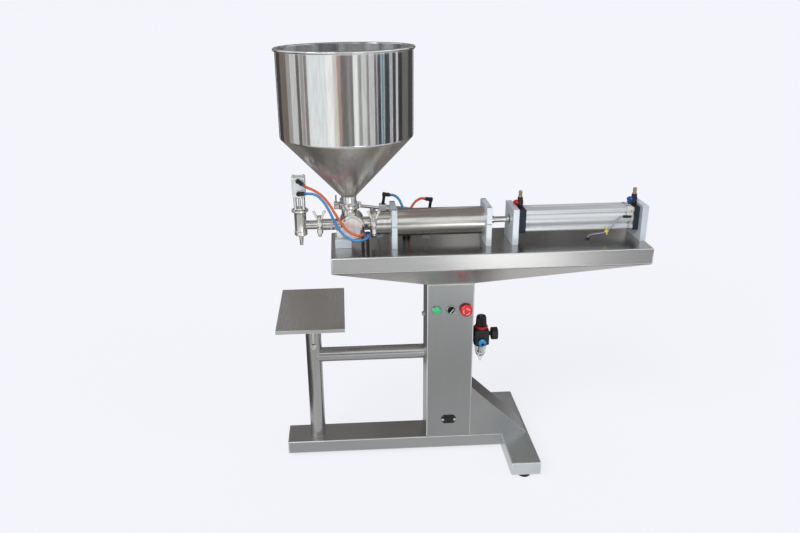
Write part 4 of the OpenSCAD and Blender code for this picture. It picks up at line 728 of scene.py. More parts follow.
# %% Finishes of the construction pieces
finish_node(post_steel, "outer_post")
finish_node(bright_steel, "inner_post", "clamp_bolt", "valve_plug", "valve_lever", "actuator_rod",
            "fill_plunger", "piston_rod")
finish_node(white_plastic, "product_piston")
finish_node(red_ring, "gauge_needle")
for name, (diameter, node, points) in ROUTES.items():
    material = {"orange_tubes": orange_tube, "blue_tubes": blue_tube}.get(node, cable_jacket)
    slot = {"orange_tubes": "tube_orange", "blue_tubes": "tube_blue"}.get(node, "cable_grey")
    cords[name].data.materials.append(material)

# %% [markdown]
# ## Hopper
# The hopper is rolled from sheet 1.5 mm thick, with a bead rolled round its rim, welded to a cone and a
# neck, and polished. One outline turned on a lathe gives all of it, with a small radius at the cone's
# weld. The cone is polished less than the drum, so it mirrors softly. The inside is painted lighter
# than the drum, up to white: painted light in the hollow.

# %% Turn the hopper
NECK_LOW = box_mm("hopper_neck")[0].z
CONE_LOW, CONE_HIGH = [corner.z for corner in box_mm("hopper_cone")]
drum_low, drum_high = box_mm("hopper_drum")
RIM_HIGH, BEAD_R, SHEET = drum_high.z, 4.5, 1.5
HOPPER_R = (drum_high.x - drum_low.x) / 2 - BEAD_R - SHEET
NECK_R, BORE_R, FLANGE_R = 23.5, 21, 28
cone, drum, bead = CONE_LOW - NECK_LOW, CONE_HIGH - NECK_LOW, RIM_HIGH - BEAD_R - NECK_LOW


def on_cone(*shares):
    """Outline points on the cone's wall, by their share of its height."""
    low, high = Vector((NECK_R + 1.2, cone + 1.2)), Vector((HOPPER_R - 2.4, drum - 2.8))
    return [tuple(low.lerp(high, share)) for share in shares]


hopper = turned((HOPPER_X, 0, NECK_LOW), "z", [
    (BORE_R, 0), (FLANGE_R, 0), (FLANGE_R, 2.5), (NECK_R + 2, 4.4), (NECK_R, 5.5), (NECK_R, cone - 1.4),
    (NECK_R + 0.9, cone - 0.6), (NECK_R + 1.2, cone + 1.2), *on_cone(0.02, 0.985),
    (HOPPER_R - 2.4, drum - 2.8), (HOPPER_R - 0.6, drum - 0.4), (HOPPER_R, drum + 2.5),
    (HOPPER_R, drum + 5), (HOPPER_R, bead - 9), (HOPPER_R, bead - 5.4),
    *arc(HOPPER_R + SHEET, bead, BEAD_R, -110, 170, 14),
    (HOPPER_R - SHEET, bead - 2.5), (HOPPER_R - SHEET, drum + 2),
    (HOPPER_R - SHEET - 2.2, drum - 2.4), (BORE_R, cone + 1)], steps=128)
for steel in (hopper_steel, hopper_inside_painted_light, cone_steel):
    hopper.data.materials.append(steel)
# Faces inside the hopper take the inside steel, whose lighter colour is painted light.
for face in hopper.data.polygons:
    place = face.center / MM
    outward = Vector((place.x - HOPPER_X, place.y, 0)).normalized()
    inside = face.normal.dot(outward) < 0 and place.z < RIM_HIGH - BEAD_R
    on_cone_wall = abs(face.normal.z) > 0.3 and CONE_LOW < place.z < CONE_HIGH
    face.material_index = 1 if inside else 2 if on_cone_wall else 0
hopper.name = hopper.data.name = "hopper_shell"
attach(hopper, "frame")
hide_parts("hopper_neck", "hopper_cone", "hopper_drum")
print("hopper:", len(hopper.data.polygons), "faces")

# %% [markdown]
# ## Sheet metal
# The frame is folded and welded from sheet 2 and 3 mm thick, then ground smooth. A folded edge is a
# small radius, so every box gets rounded edges, and these carry a painted highlight in a brighter steel.
# Where two boxes meet, a ground weld leaves a thin raised line.

# %% Folded boxes
# A brighter steel for the rounded edges, which paints a highlight along them.
edge_highlight_steel = brushed_steel("stainless_painted_edge_highlight", "x", "#DDE0E2", "#F0F2F3", roughness=0.2)


def painted_highlight_edges(obj):
    """Paints a highlight on the rounded edges of a folded box with a brighter steel."""
    obj.data.materials.append(edge_highlight_steel)
    for face in obj.data.polygons:
        if max(abs(part) for part in face.normal) < 0.97:
            face.material_index = 1
    return obj


def node_box(name, rounding, segments=3):
    return block(*box_mm(name), rounding=rounding, segments=segments)


for name, node, rounding, steel, slot in (
        ("beam_folded", "base_beam", 3, beam_steel, "brushed_stainless"),
        ("cross_folded", "cross_foot", 3, cross_steel, "brushed_stainless"),
        ("table_folded", "table_tray", 3.5, table_steel, "satin_stainless")):
    painted_highlight_edges(dress(name, node_box(node, rounding), steel, node))
dress("panel_pressed", node_box("rear_panel", 0.8), column_steel, "rear_panel")

low, high = box_mm("mains_inlet")
INLET_LIP = 3.4
column = node_box("column_shell", 3.5)
bored(column, block((low.x + INLET_LIP, FRONT_Y - 9, low.z + INLET_LIP),
                    (high.x - INLET_LIP, high.y, high.z - INLET_LIP)))
painted_highlight_edges(dress("column_folded", column, column_steel, "column_shell"))

low, high = box_mm("gusset_box")
gusset = prism([(low.x - 2, low.z - 2), (high.x, low.z - 2), (high.x, low.z + 1), (low.x + 1, high.z),
                (low.x - 2, high.z)], low.y, high.y, rounding=2)
dress("gusset_folded", gusset, gusset_steel, "gusset_box")

# %% The pan under the table
low, high = box_mm("table_belly")
belly = block((COLUMN[0].x, COLUMN[0].y, low.z), (COLUMN[1].x, COLUMN[1].y, high.z))
wide, post, centre = high - low, COLUMN[1] - COLUMN[0], (COLUMN[0] + COLUMN[1]) / 2
shift = (low + high) / 2 - centre
pull(belly, lambda point: point.z > (low.z + high.z) / 2, (wide.x / post.x, wide.y / post.y, 1),
     centre, (shift.x, shift.y, 0))
edges_rounded(belly, 1.5, 2, angle=12)
dress("pan_welded", settle(belly), pan_steel, "table_belly")

# %% Platform with its folded rim
low, high = box_mm("platform_tray")
PLATE_SHEET = 2
platform = block(low, high)
bored(platform, block((low.x + PLATE_SHEET, low.y + PLATE_SHEET, low.z - PLATE_SHEET),
                      (high.x - PLATE_SHEET, high.y - PLATE_SHEET, high.z - PLATE_SHEET)))
edges_rounded(platform, 0.9)
painted_highlight_edges(dress("platform_folded", settle(platform), tray_steel, "platform_tray",
                   "platform"))


# %% Ground welds
WELD_MM = 2.2


def weld(name, points, closed=False):
    """A low ground bead along points in millimetres."""
    line = curve_through(name, [Vector(p) * MM for p in points], WELD_MM)
    line.data.splines[0].use_cyclic_u = closed
    for knot in line.data.splines[0].bezier_points:
        knot.handle_left_type = knot.handle_right_type = "VECTOR"
    line.data.resolution_u = 2
    pick(line)
    bpy.ops.object.convert(target="MESH")
    return dress(name, settle(VIEW.objects.active), weld_steel)


(ax, ay, az), (bx, by, bz) = COLUMN
for name, z in (("weld_column_foot", az), ("weld_column_head", bz)):
    weld(name, [(ax, ay, z), (bx, ay, z), (bx, by, z), (ax, by, z)], closed=True)
low, high = box_mm("cross_foot")
for name, y in (("weld_beam_end", ay), ("weld_beam_back", by)):
    weld(name, [(low.x, y, az - 1), (low.x, y, low.z + 2)])

# %% [markdown]
# ## Cradles, plates and air cylinder
# The product cylinder lies in two cradles that are split on its axis. The plates are sawn from thick
# aluminium and their edges are broken with a file. Socket-head screws hold the cradles' upper halves,
# and the air cylinder's heads and profile tube sit between two plates.

# %% Cradles and plates
barrel_low, barrel_high = box_mm("product_barrel")
BARREL_R = (barrel_high.z - barrel_low.z) / 2
(heads_low, heads_high), (plate_low, plate_high) = box_mm("barrel_heads"), box_mm("air_plates")
(cradle_low, cradle_high), cradle_top = box_mm("lower_cradles"), box_mm("upper_cradles")[1].z
CRADLE_T, PLATE_T, EDGE = 17, 19, 0.9
cradle_starts = (cradle_low.x, cradle_high.x - CRADLE_T)
plate_starts = (plate_low.x, plate_high.x - PLATE_T)


def cradles(low, high):
    """Two cradle halves with the barrel's seat cut out, to be joined."""
    halves = []
    for x in cradle_starts:
        half = block((x, low.y, low.z), (x + CRADLE_T, high.y, high.z))
        bored(half, rod((x - 1, 0, AXIS_Z), "x", BARREL_R + 0.1, CRADLE_T + 2, 96))
        halves.append(edges_rounded(half, EDGE))
    return halves


for name, node in (("cradles_low", "lower_cradles"), ("cradles_high", "upper_cradles")):
    dress(name, cradles(*box_mm(node)), blasted_aluminium, node)
plates = [block((x, plate_low.y, plate_low.z), (x + PLATE_T, plate_high.y, plate_high.z), EDGE)
          for x in plate_starts]
bored(plates[0], rod((plate_starts[0] - 1, 0, AXIS_Z), "x", 17, PLATE_T + 2, 64))
dress("plates_sawn", plates, blasted_aluminium, "air_plates")

dress("block_sawn", node_box("support_block", EDGE, 2), blasted_aluminium,
      "support_block")
print("cradles and plates:", [round(x) for x in (*cradle_starts, *plate_starts)])


# %% Screws
def socket_screw(place, direction, radius, height):
    """A screw's head with a hexagon socket, its seat at a place in millimetres."""
    head = rod(place, direction, radius, height, 32)
    floor_at = Vector(place) + way_of(direction) * height * 0.45
    bored(head, rod(floor_at, direction, radius * 0.5, height, 6))
    return edges_rounded(head, radius * 0.08)


SCREW_Y = 51
cradle_places = [(x + CRADLE_T / 2, y) for x in cradle_starts for y in (-SCREW_Y, SCREW_Y)]
cradle_parts = [rod((x, y, AXIS_Z - 3), "z", 4, 50, 32) for x, y in cradle_places]
cradle_parts += [socket_screw((x, y, cradle_top - 8), "z", 6.5, 8) for x, y in cradle_places]
dress("cradle_screws", cradle_parts, bright_steel)

PANEL_XS, PANEL_ZS = (-87, 29), (164, 360, 556)
INLET_XS, INLET_Z = (-49, -9), 126
ARM_YS, ARM_Z = (-10, 10), 406.7
PLUG_Y, PLUG_Z = 30, 483
service_low = box_mm("service_body")[0]
pan_places = [((x, COLUMN[1].y + 2, z), "y") for x in PANEL_XS for z in PANEL_ZS]
pan_places += [((x, FRONT_Y - 3.5, INLET_Z), "-y") for x in INLET_XS]
pan_places += [((service_low.x + 3, y, ARM_Z), "x") for y in ARM_YS]


def pan_screw(place, direction):
    """A pan head with a cross recess."""
    head = turned(place, direction, [(0, 0), (5, 0), (5, 1.2), (4.2, 2.3), (2.6, 2.9), (0, 3)], 24)
    way = way_of(direction)
    side = Vector((0, 0, 1)) if abs(way.z) < 0.5 else Vector((1, 0, 0))
    other = way.cross(side)
    for along, across in ((side, other), (other, side)):
        half = Vector([abs(v) for v in along * 2.4 + across * 0.5])
        seat, top = Vector(place) + way * 1.4, Vector(place) + way * 4
        lowest = Vector([min(p, q) for p, q in zip(seat, top)]) - half
        highest = Vector([max(p, q) for p, q in zip(seat, top)]) + half
        bored(head, block(lowest, highest))
    return head


pans = [pan_screw(*p) for p in pan_places]
plug = [edges_rounded(rod((COLUMN[0].x - out, PLUG_Y, PLUG_Z), "-x", radius, length, corners), 0.4)
        for out, radius, length, corners in ((0, 10.5, 1.4, 40), (1.4, 8, 5, 6), (6.4, 4, 1.6, 24))]
dress("pan_screws", [*pans, *plug], bright_steel, "screws")
print("screws:", len(pan_places) + 4)

# %% Profile tube, heads and gland
tube_low, tube_high = box_mm("profile_tube")
half = (tube_high.z - tube_low.z) / 2
BULGE, LIP, CORNER = 18, 22.5, 6
bulge = math.degrees(math.asin(BULGE / half))
one_side = [*arc(half - CORNER, half - CORNER, CORNER, 45, 90, 4), (LIP, half), (LIP - 1, half - 0.8),
            (LIP - 1, half - 5.4), *arc(0, 0, half, 90 - bulge, 90 + bulge, 12),
            (1 - LIP, half - 5.4), (1 - LIP, half - 0.8), (-LIP, half),
            *arc(CORNER - half, half - CORNER, CORNER, 90, 135, 4)[:-1]]
outline = []
for turn in range(4):
    for a, b in one_side:
        for _ in range(turn):
            a, b = -b, a
        outline.append((a, AXIS_Z + b))
profile = prism(outline, tube_low.x, tube_high.x, axis="x")
dress("profile_extruded", settle(profile), silver_profile, "profile_tube")

cap_low, cap_high = box_mm("air_heads")
HEAD_HALF = (cap_high.z - cap_low.z) / 2
front_head = (tube_low.x - 27, tube_low.x)
rear_head = (tube_high.x, cap_high.x)
heads = []
for start, end in (front_head, rear_head):
    head = block((start, -HEAD_HALF, AXIS_Z - HEAD_HALF), (end, HEAD_HALF, AXIS_Z + HEAD_HALF))
    if start == front_head[0]:
        bored(head, rod((cap_low.x - 1, 0, AXIS_Z), "x", 9.1, 50))
    heads.append(edges_rounded(head, 2.2, 3, angle=60))
boss = turned((cap_low.x, 0, AXIS_Z), "x", [
    (9.1, 0), (15.2, 0), (16, 0.8), (16, 12.5), (9.1, 12.5)], 64)
dress("heads_cast", [*heads, boss], dark_head, "air_heads")
head_screws = [socket_screw((front_head[0], y, AXIS_Z + z), "-x", 4.6, 3)
               for y in (-28, 28) for z in (-28, 28)]
dress("head_screws", head_screws, bright_steel)
print("profile tube:", len(outline), "outline points")

# %% Barrel, its heads and the piston rod's gland
barrel_long = barrel_high.x - barrel_low.x
barrel = turned((barrel_low.x, 0, AXIS_Z), "x", [
    (40, 0), (BARREL_R, 0), (BARREL_R, barrel_long), (40, barrel_long)], 128)
dress("barrel_honed", barrel, barrel_steel, "product_barrel")
head = turned((heads_low.x, 0, AXIS_Z), "x", [
    (31, 0), (40, 0), (41, 0.8), (41, 2.5), (37.6, 5.2), (37, 6), (37, 53.6), (38, 55),
    (BARREL_R - 0.6, 55), (BARREL_R, 55.6), (BARREL_R, 66.4), (BARREL_R - 0.5, 67), (26, 67),
    (26, 54), (31, 54)], 96)
gland = turned((heads_high.x - 32, 0, AXIS_Z), "x", [
    (9.1, 0), (BARREL_R - 0.5, 0), (BARREL_R, 0.6), (BARREL_R, 13.4), (BARREL_R - 0.6, 14),
    (13, 14), (11.6, 15), (11, 16), (11, 30.6), (9.6, 32), (9.1, 32)], 96)
dress("barrel_heads_turned", joined(head, gland), valve_steel, "barrel_heads")

# %% [markdown]
# Two speed controllers screw into the heads. Each has a black moulded body, a push-in arm with a
# coloured ring, red in front and blue at the rear, and a knurled brass screw that turns in a lock nut.

# %% Speed controllers
CONTROL_Z = AXIS_Z + 37.5
control_xs = (front_head[0] + 13.5, rear_head[0] + 8.5)


def knurled(x, radius, low, high, ribs=24):
    """A knob with a fluted edge that stands at y = 0."""
    knob = rod((x, 0, low), "z", radius, high - low, 2 * ribs)

    def in_a_groove(point):
        return round(math.atan2(point.y, point.x - x) / (math.pi / ribs)) % 2 == 1

    return pull(knob, in_a_groove, (0.93, 0.93, 1), (x, 0, low))


bodies, rings = [], []
for x, screw_body, screw_node in ((control_xs[0], "front_screw", "front_flow_screw"),
                                  (control_xs[1], "rear_screw", "rear_flow_screw")):
    body = turned((x, 0, CONTROL_Z), "z", [
        (3, 0), (5, 0), (5, 4), (9, 4), (9.8, 4.8), (9.8, 22), (8.4, 23.4), (8.4, 31), (7.4, 32),
        (2.6, 32), (2.6, 14), (3, 12)], 40)
    arm = turned((x - 17, 0, CONTROL_Z + 16), "x", [
        (4.1, 0), (6.6, 0), (7.4, 0.8), (7.4, 17), (0, 17), (0, 4), (4.1, 4)], 32)
    hexagon = edges_rounded(rod((x, 0, CONTROL_Z), "z", 9, 4, 6), 0.4)
    bodies += [body, arm, hexagon]
    rings.append(turned((x - 17, 0, CONTROL_Z + 16), "x", [
        (6, 0), (8.2, 0.5), (8.2, 8.5), (7.6, 9), (6, 9)], 40))
    top = CONTROL_Z + 32.3
    stem = rod((x, 0, top - 9), "z", 2.5, 9.2, 24)
    nut = edges_rounded(rod((x, 0, top), "z", 6.5, 5, 6), 0.5)
    neck = rod((x, 0, top + 5), "z", 4.1, 3, 32)
    knob = knurled(x, 5.8, top + 7.6, top + 18.6)
    crown = turned((x, 0, top + 18.6), "z", [
        (0, 0), (5.2, 0), (4.6, 1.4), (2.4, 2), (0, 2)], 32)
    bored(crown, block((x - 6, -0.6, top + 19.6), (x + 6, 0.6, top + 23)))
    dress(screw_node + "_turned", [stem, nut, neck, crown, knob], brass,
          screw_node, screw_body)
dress("controllers_moulded", bodies, black_moulding, "flow_controls")
dress("controller_ring_front", rings[0], red_ring)
dress("controller_ring_rear", rings[1], blue_ring)

# %% Position sensor on the tube
STRAP_X, sensor_z = tube_high.x - 14, AXIS_Z + 8
loop = prism(outline, STRAP_X - 4.5, STRAP_X + 4.5, axis="x")
pull(loop, lambda point: True, (1, 1.026, 1.026), (STRAP_X, 0, AXIS_Z))
bracket = block((STRAP_X - 9, -half - 7, sensor_z - 6),
                (STRAP_X + 8, -half - 0.2, AXIS_Z + half + 1), 1.6, 3)
lug = block((STRAP_X - 9, -half - 7, AXIS_Z + half - 1),
            (STRAP_X + 8, -half + 10, AXIS_Z + half + 2.2), 1.2, 2)
clamp_screw = pan_screw((STRAP_X - 1, -half - 7, AXIS_Z + half - 10), "-y")
dress("sensor_strap", [loop, clamp_screw], bright_steel, "reed_switch")
dress("sensor_bracket", [lug, bracket], white_plastic)
housing = block((STRAP_X - 22, -half - 8, sensor_z - 4),
                (STRAP_X + 5, -half - 3, sensor_z + 4), 1.2, 3)
dress("sensor_housing", settle(housing), black_moulding)
tie_x = COLUMN_X + 490
tie = turned((tie_x - 2.2, -40, 767.7), (0.55, 0, 0.83), [
    (2.1, 0), (4.6, 0), (5, 2), (5, 6), (4.6, 8), (2.1, 8)], 24)
tail = block((tie_x - 4, -45, 772), (tie_x, -42.6, 786), 0.6)
end = block((tie_x - 2, -45, 761), (tie_x + 2, -42.6, 772), 0.6)
dress("sensor_tie", [tie, tail, end], yellow_tie)
print("air cylinder dressed")

# %% [markdown]
# ## Product valve and its clamps
# Three pipe clamps of the dairy kind hold the hopper, the outlet and the product cylinder on the valve.
# Each is a cast ring in two halves with a hinge, two lugs and a swing bolt, tightened by a wing nut whose
# two wings spread like a Y. The castings are tumbled, so every edge is soft.

# %% Clamp rings and wing nuts
CLAMP_WALL, BOLT_OUT = 5.5, 6.5
CLAMPS = (
    (at((round(HOPPER_X), 0, round(NECK_LOW)), (0, 0, 180)), 28, "hopper_wing_nut", "hopper_nut"),
    (at((VALVE_X - 100, 0, AXIS_Z), (-90, 0, -90)), 23.5, "outlet_wing_nut", "outlet_nut"),
    (at((VALVE_X + 66, 0, AXIS_Z), (-90, 0, -90)), 41, "cylinder_wing_nut", "cylinder_nut"),
)


def clamp_parts(frame, flange):
    """A clamp's ring, lugs, hinge and swing bolt round a flange of a radius."""
    outer = flange + CLAMP_WALL
    ring = turned((0, 0, 0), "z", [
        (flange + 0.3, -2.8), (flange + 0.3, 2.8), (flange - 2, 8), (flange - 1.4, 9), (outer - 2, 9),
        (outer - 0.5, 7.6), (outer, 5.5), (outer, -5.5), (outer - 0.5, -7.6), (outer - 2, -9),
        (flange - 1.4, -9), (flange - 2, -8)], 72)
    bored(ring, block((0, -3, -18), (outer + 20, 3, 18)))
    lugs = [block((outer - 3, start, -6.5), (outer + 13, end, 6.5), 2.2, 3)
            for start, end in ((3, 20), (-20, -3))]
    hinge = edges_rounded(rod((-outer, 0, -9), "z", 5, 18, 24), 0.8)
    pin = rod((-outer, 0, -10.5), "z", 2.2, 21, 16)
    bolt = rod((outer + BOLT_OUT, -34, 0), "y", 3.5, 58, 24)
    bpy.ops.mesh.primitive_uv_sphere_add(
        segments=24, ring_count=12, radius=6 * MM, location=Vector((outer + BOLT_OUT, 23, 0)) * MM)
    return placed(frame, settle(joined(ring, *lugs, hinge, pin, bolt, VIEW.objects.active)))


def wing_nut(frame, flange):
    """A wing nut on the clamp's bolt, its wings spread like a Y."""
    hub = turned((0, 0, 0), "z", [
        (3.55, 0), (6.4, 0), (7, 0.6), (6.8, 8), (5.6, 12), (3.55, 12)], 32)
    wings = []
    for side in (1, -1):
        outline = [(4.4, 0.8), (6.6, 0.8), (9.2, 8), (12.6, 15),
                   *arc(16, 30, 4.4, -55, 165, 8), (9, 22), (4.6, 13)]
        wings.append(prism([(side * x, z) for x, z in outline], -2.3, 2.3, rounding=1.3))
    bolt_x = flange + CLAMP_WALL + BOLT_OUT
    return placed(frame @ at((bolt_x, -20.3, 0), (90, 90, 0)), settle(joined(hub, *wings)))


rings = [clamp_parts(seat, flange) for seat, flange, _, _ in CLAMPS]
dress("clamps_cast", joined(*rings), valve_steel, "clamp_rings")
for seat, flange, node, body in CLAMPS:
    dress(node + "_cast", wing_nut(seat, flange), valve_steel, node, body)
print("clamps:", len(CLAMPS))

# %% Valve body and caps
valve_parts = [
    turned((VALVE_X, -45, AXIS_Z), "y", [
        (27.1, 0), (36, 0), (38, 2), (38, 88), (36, 90), (27.1, 90)], 96),
    turned((HOPPER_X, 0, AXIS_Z + 24), "z", [
        (21, 0), (23.5, 0), (23.5, 8), (23.5, 30), (25, 31.5), (25, 33.5), (28, 33.5), (28, 36),
        (21, 36)], 64),
    turned((VALVE_X + 30, 0, AXIS_Z), "x", [
        (13, 0), (21, 0), (21, 30), (24, 31.5), (38, 33.5), (41, 33.6), (41, 36), (13, 36)], 64),
    turned((VALVE_X - 30, 0, AXIS_Z), "-x", [
        (13.5, 0), (17.5, 0), (17.5, 65), (20.5, 67.5), (23.5, 67.6), (23.5, 70), (13.5, 70)], 64),
    block((VALVE_X - 49, -25, TABLE_Z + 27), (VALVE_X - 9, 25, AXIS_Z - 14), 2, 2),
]
dress("valve_turned", valve_parts, valve_steel, "valve_body")
cap = turned((VALVE_X, -45, AXIS_Z), "-y", [
    (0, 0), (31, 0), (31, 9.2), (30, 11.2), (28, 12), (24.5, 12), (23.6, 11.4), (0, 11.4)], 96)
rear = turned((VALVE_X, 45, AXIS_Z), "y", [
    (9.1, 0), (31, 0), (31, 6.6), (29.6, 8), (9.1, 8)], 96)
dress("valve_caps_turned", joined(cap, rear), cap_steel, "valve_caps")

# %% [markdown]
# ## Filling valve
# The shut-off valve is a turned body with a flanged collar, an open cage that shows the plunger's stem,
# and a square air cylinder between two end plates, held by four long screws.

# %% Filling valve
BASE = AXIS_Z - 32
body = turned((FILL_X, 0, BASE), "z", [
    (5, 0), (17, 0), (20, 2.4), (20, 13.6), (18.5, 15.2), (18.5, 70), (19.6, 73), (24.6, 76), (26, 77.4),
    (26, 82.4), (24.4, 84), (4.1, 84), (4.1, 76), (14, 76), (14, 8), (5, 8)], 64)
pipe = turned((FILL_X + 16, 0, AXIS_Z), "x", [
    (10, 0), (14, 0), (14, 38), (20, 41.4), (23.5, 41.5), (23.5, 44), (10, 44)], 64)
dress("fill_turned", joined(body, pipe), valve_steel, "fill_body")
tip = turned((FILL_X, 0, BASE - 32), "z", [
    (3.5, 0), (4.7, 0), (5, 0.5), (6.9, 29), (8.2, 30), (8.2, 32), (3.5, 32)], 40)
dress("nozzle_turned", tip, valve_steel, "nozzle_tip")

CAGE_Z, BLOCK_Z = BASE + 84, BASE + 126
posts = [rod((FILL_X + x, y, CAGE_Z + 1), "z", 4.2, 40, 24) for x in (-13, 13) for y in (-13, 13)]
ends = [turned((FILL_X, 0, z), "z", [
    (4.4, 0), (17, 0), (18, 1), (18, 4.2), (17.2, 5), (4.4, 5)], 64) for z in (CAGE_Z, BLOCK_Z - 5)]
dress("cage_turned", [*posts, *ends], bright_steel, "fill_cage")

FILL_HALF = 20.5
plates = [block((FILL_X - FILL_HALF, -FILL_HALF, low), (FILL_X + FILL_HALF, FILL_HALF, high), 1)
          for low, high in ((BLOCK_Z, BLOCK_Z + 8), (BLOCK_Z + 52, BLOCK_Z + 60))]
square = [(FILL_X + x, y) for x, y in (
    (-FILL_HALF, -FILL_HALF), (-16.2, -FILL_HALF), (-16.2, -18.5), (-11.2, -18.5), (-11.2, -FILL_HALF),
    (11.2, -FILL_HALF), (11.2, -18.5), (16.2, -18.5), (16.2, -FILL_HALF), (FILL_HALF, -FILL_HALF),
    (FILL_HALF, FILL_HALF), (-FILL_HALF, FILL_HALF))]
middle_block = prism(square, BLOCK_Z + 8.2, BLOCK_Z + 51.8, axis="z", rounding=0.5, segments=1)
bored(plates[0], rod((FILL_X, 0, BLOCK_Z - 1), "z", 4.1, 10, 32))
dress("fill_block", [*plates, middle_block], silver_block, "fill_cylinder")
corner_screws = [socket_screw((FILL_X + x, y, BLOCK_Z + 60), "z", 3.4, 2.4)
                 for x in (-15, 15) for y in (-15, 15)]
dress("fill_screws", joined(*corner_screws), bright_steel)
print("filling valve dressed")

# %% [markdown]
# ## Valve actuator
# A small round air cylinder behind the valve pulls its lever through a forked rod end. It slopes down a
# little, and two plates carry it on the table.

# %% Valve actuator
SLIDE = at((VALVE_X, 0, AXIS_Z), (0, math.degrees(ACTUATOR_TILT), 0))
ACT_START, ACT_END, ACT_Z = 83, 258, 40
tube = placed(SLIDE, turned((ACT_START + 24, ACT_Y, ACT_Z), "x", [
    (10.5, 0), (12.5, 0), (12.5, 127), (10.5, 127)], 48))
dress("actuator_tube", tube, bright_steel)
ends = []
for x in (ACT_START, ACT_END - 24):
    end = block((x, ACT_Y - 14, ACT_Z - 14), (x + 24, ACT_Y + 14, ACT_Z + 14), 2.4, 3)
    if x == ACT_START:
        bored(end, rod((x - 1, ACT_Y, ACT_Z), "x", 5.1, 30, 32))
    ends.append(placed(SLIDE, end))
for x in (ACT_START, ACT_END - 24):
    outline = [on_slope(x, ACT_Z - 12), on_slope(x + 8, ACT_Z - 12)]
    for along in (x + 8, x):
        rise = (TABLE_Z - AXIS_Z + along * SIN) / COS
        outline.append(on_slope(along, rise))
    plate = prism(outline, ACT_Y - 13, ACT_Y + 13, rounding=0.8)
    foot_x = outline[3][0]
    foot = block((foot_x + 3, ACT_Y - 12, TABLE_Z), (foot_x + 26, ACT_Y + 12, TABLE_Z + 5), 0.8)
    ends += [plate, foot, socket_screw((foot_x + 17, ACT_Y, TABLE_Z + 5), "z", 5, 5)]
dress("actuator_blocks", ends, silver_block, "actuator_cylinder")

# %% [markdown]
# The push-in fittings are moulded in black nylon on a hexagon foot. A coloured ring at the mouth lets go
# of the tube when it is pressed.

# %% Push-in fittings
def elbow(frame, stem, arm_turn):
    """An elbow fitting's black body and its ring, from its foot."""
    arm_frame = frame @ at((0, 0, stem), (0, 0, arm_turn))
    parts = [edges_rounded(rod((0, 0, 0), "z", 6.4, 4, 6), 0.4),
             rod((0, 0, 3), "z", 4.8, stem - 6, 24),
             turned((0, 0, stem - 6.5), "z", [
                 (0, 0), (5.6, 0), (6.5, 1), (6.5, 10.6), (5.2, 12.6), (0, 13)], 32)]
    arm = turned((0, 0, 0), "x", [(0, 0), (6.1, 0), (6.1, 8), (6.5, 9), (6.5, 15), (5.9, 16), (0, 16)], 32)
    ring = turned((16, 0, 0), "x", [(0, 0), (5, 0), (5, 2), (5.8, 2.8), (5.8, 3.7), (5.4, 4), (0, 4)], 32)
    placed(frame, *parts)
    placed(arm_frame, arm, ring)
    return [*parts, arm], ring


ELBOWS = (
    (at((FILL_X, -FILL_HALF, BLOCK_Z + 52), (90, 0, 0)), 10.5, -math.degrees(math.atan2(3, 4))),
    (at((FILL_X, -FILL_HALF, BLOCK_Z + 13), (90, 0, 0)), 10.5, 0),
    (at((VALVE_X + 31, -64, TABLE_Z)), 59, -90),
    (at((VALVE_X + 46, -64, TABLE_Z)), 53, -90),
    (SLIDE @ at((ACT_START + 12, ACT_Y, ACT_Z + 14)), 32, 0),
    (SLIDE @ at((ACT_END - 12, ACT_Y, ACT_Z + 14)), 32, 180),
)
black_parts, ring_parts = [], []
for seat, stem, turn in ELBOWS:
    parts, ring = elbow(seat, stem, turn)
    black_parts += parts
    ring_parts.append(ring)
open_ring = [(4.15, 0), (5.2, 0), (5.2, 2), (5.9, 2.8), (5.9, 3.8), (5.4, 4.1), (4.15, 4.1)]
BULKHEAD_Y = 56
for x in (COLUMN_X - 139, COLUMN_X - 125):
    black_parts.append(edges_rounded(rod((x, BULKHEAD_Y, TABLE_Z), "z", 7, 5, 6), 0.4))
    black_parts.append(rod((x, BULKHEAD_Y, TABLE_Z + 5), "z", 6.2, 3, 32))
    ring_parts.append(turned((x, BULKHEAD_Y, TABLE_Z + 8), "z", open_ring, 32))
black_parts.append(turned((COLUMN_X + 439, -20, TABLE_Z), "z", [
    (0, 0), (6, 0), (6, 2.4), (4.6, 3), (3.4, 5), (0, 5)], 24))
tips = [turned((x - 17, 0, CONTROL_Z + 16), "-x", open_ring, 32) for x in control_xs]
dress("controller_tip_front", tips[0], red_ring)
ring_parts.append(tips[1])
ring_parts.append(turned((service_low.x + 35, -41, service_low.z + 13), "-y", open_ring, 32))
dress("fittings_moulded", black_parts, black_moulding, "air_fittings")
dress("fitting_rings", ring_parts, blue_ring, "release_rings")
print("fittings:", len(ELBOWS) + 3)

# %% [markdown]
# ## Air service unit
# A filter and regulator hangs on the column's right side. Its ribbed knob is lifted and turned to set
# the pressure, its bowl catches water, and its gauge looks to the right.

# %% Air service unit
SERVICE_X, SERVICE_Z = service_low.x + 35, service_low.z
top = SERVICE_Z + 54
core = block((SERVICE_X - 25, -25, SERVICE_Z), (SERVICE_X + 25, 25, top), 5, 4)
shoulder = turned((SERVICE_X, 0, top - 1), "z", [
    (6.1, 0), (23, 0), (22.6, 2), (17.4, 2), (17.4, 10.6), (6.1, 10.6)], 64)
arm = block((service_low.x + 3, -20, top - 9), (SERVICE_X - 19, 20, top - 6), 0.6)
back = block((service_low.x, -20, top - 44), (service_low.x + 3, 20, top), 0.8)
boss = turned((SERVICE_X, -24, SERVICE_Z + 13), "-y", [
    (4.15, 0), (12, 0), (12, 2.4), (11, 3.4), (4.15, 3.4)], 40)
port = turned((SERVICE_X, -27, SERVICE_Z + 13), "-y", [
    (4.15, 0), (12.4, 0), (12.8, 1), (12.8, 8), (11.2, 9.8), (8.6, 10.2), (8.4, 13.4), (7.6, 14),
    (4.15, 14)], 40)
dress("service_port", port, port_blue)
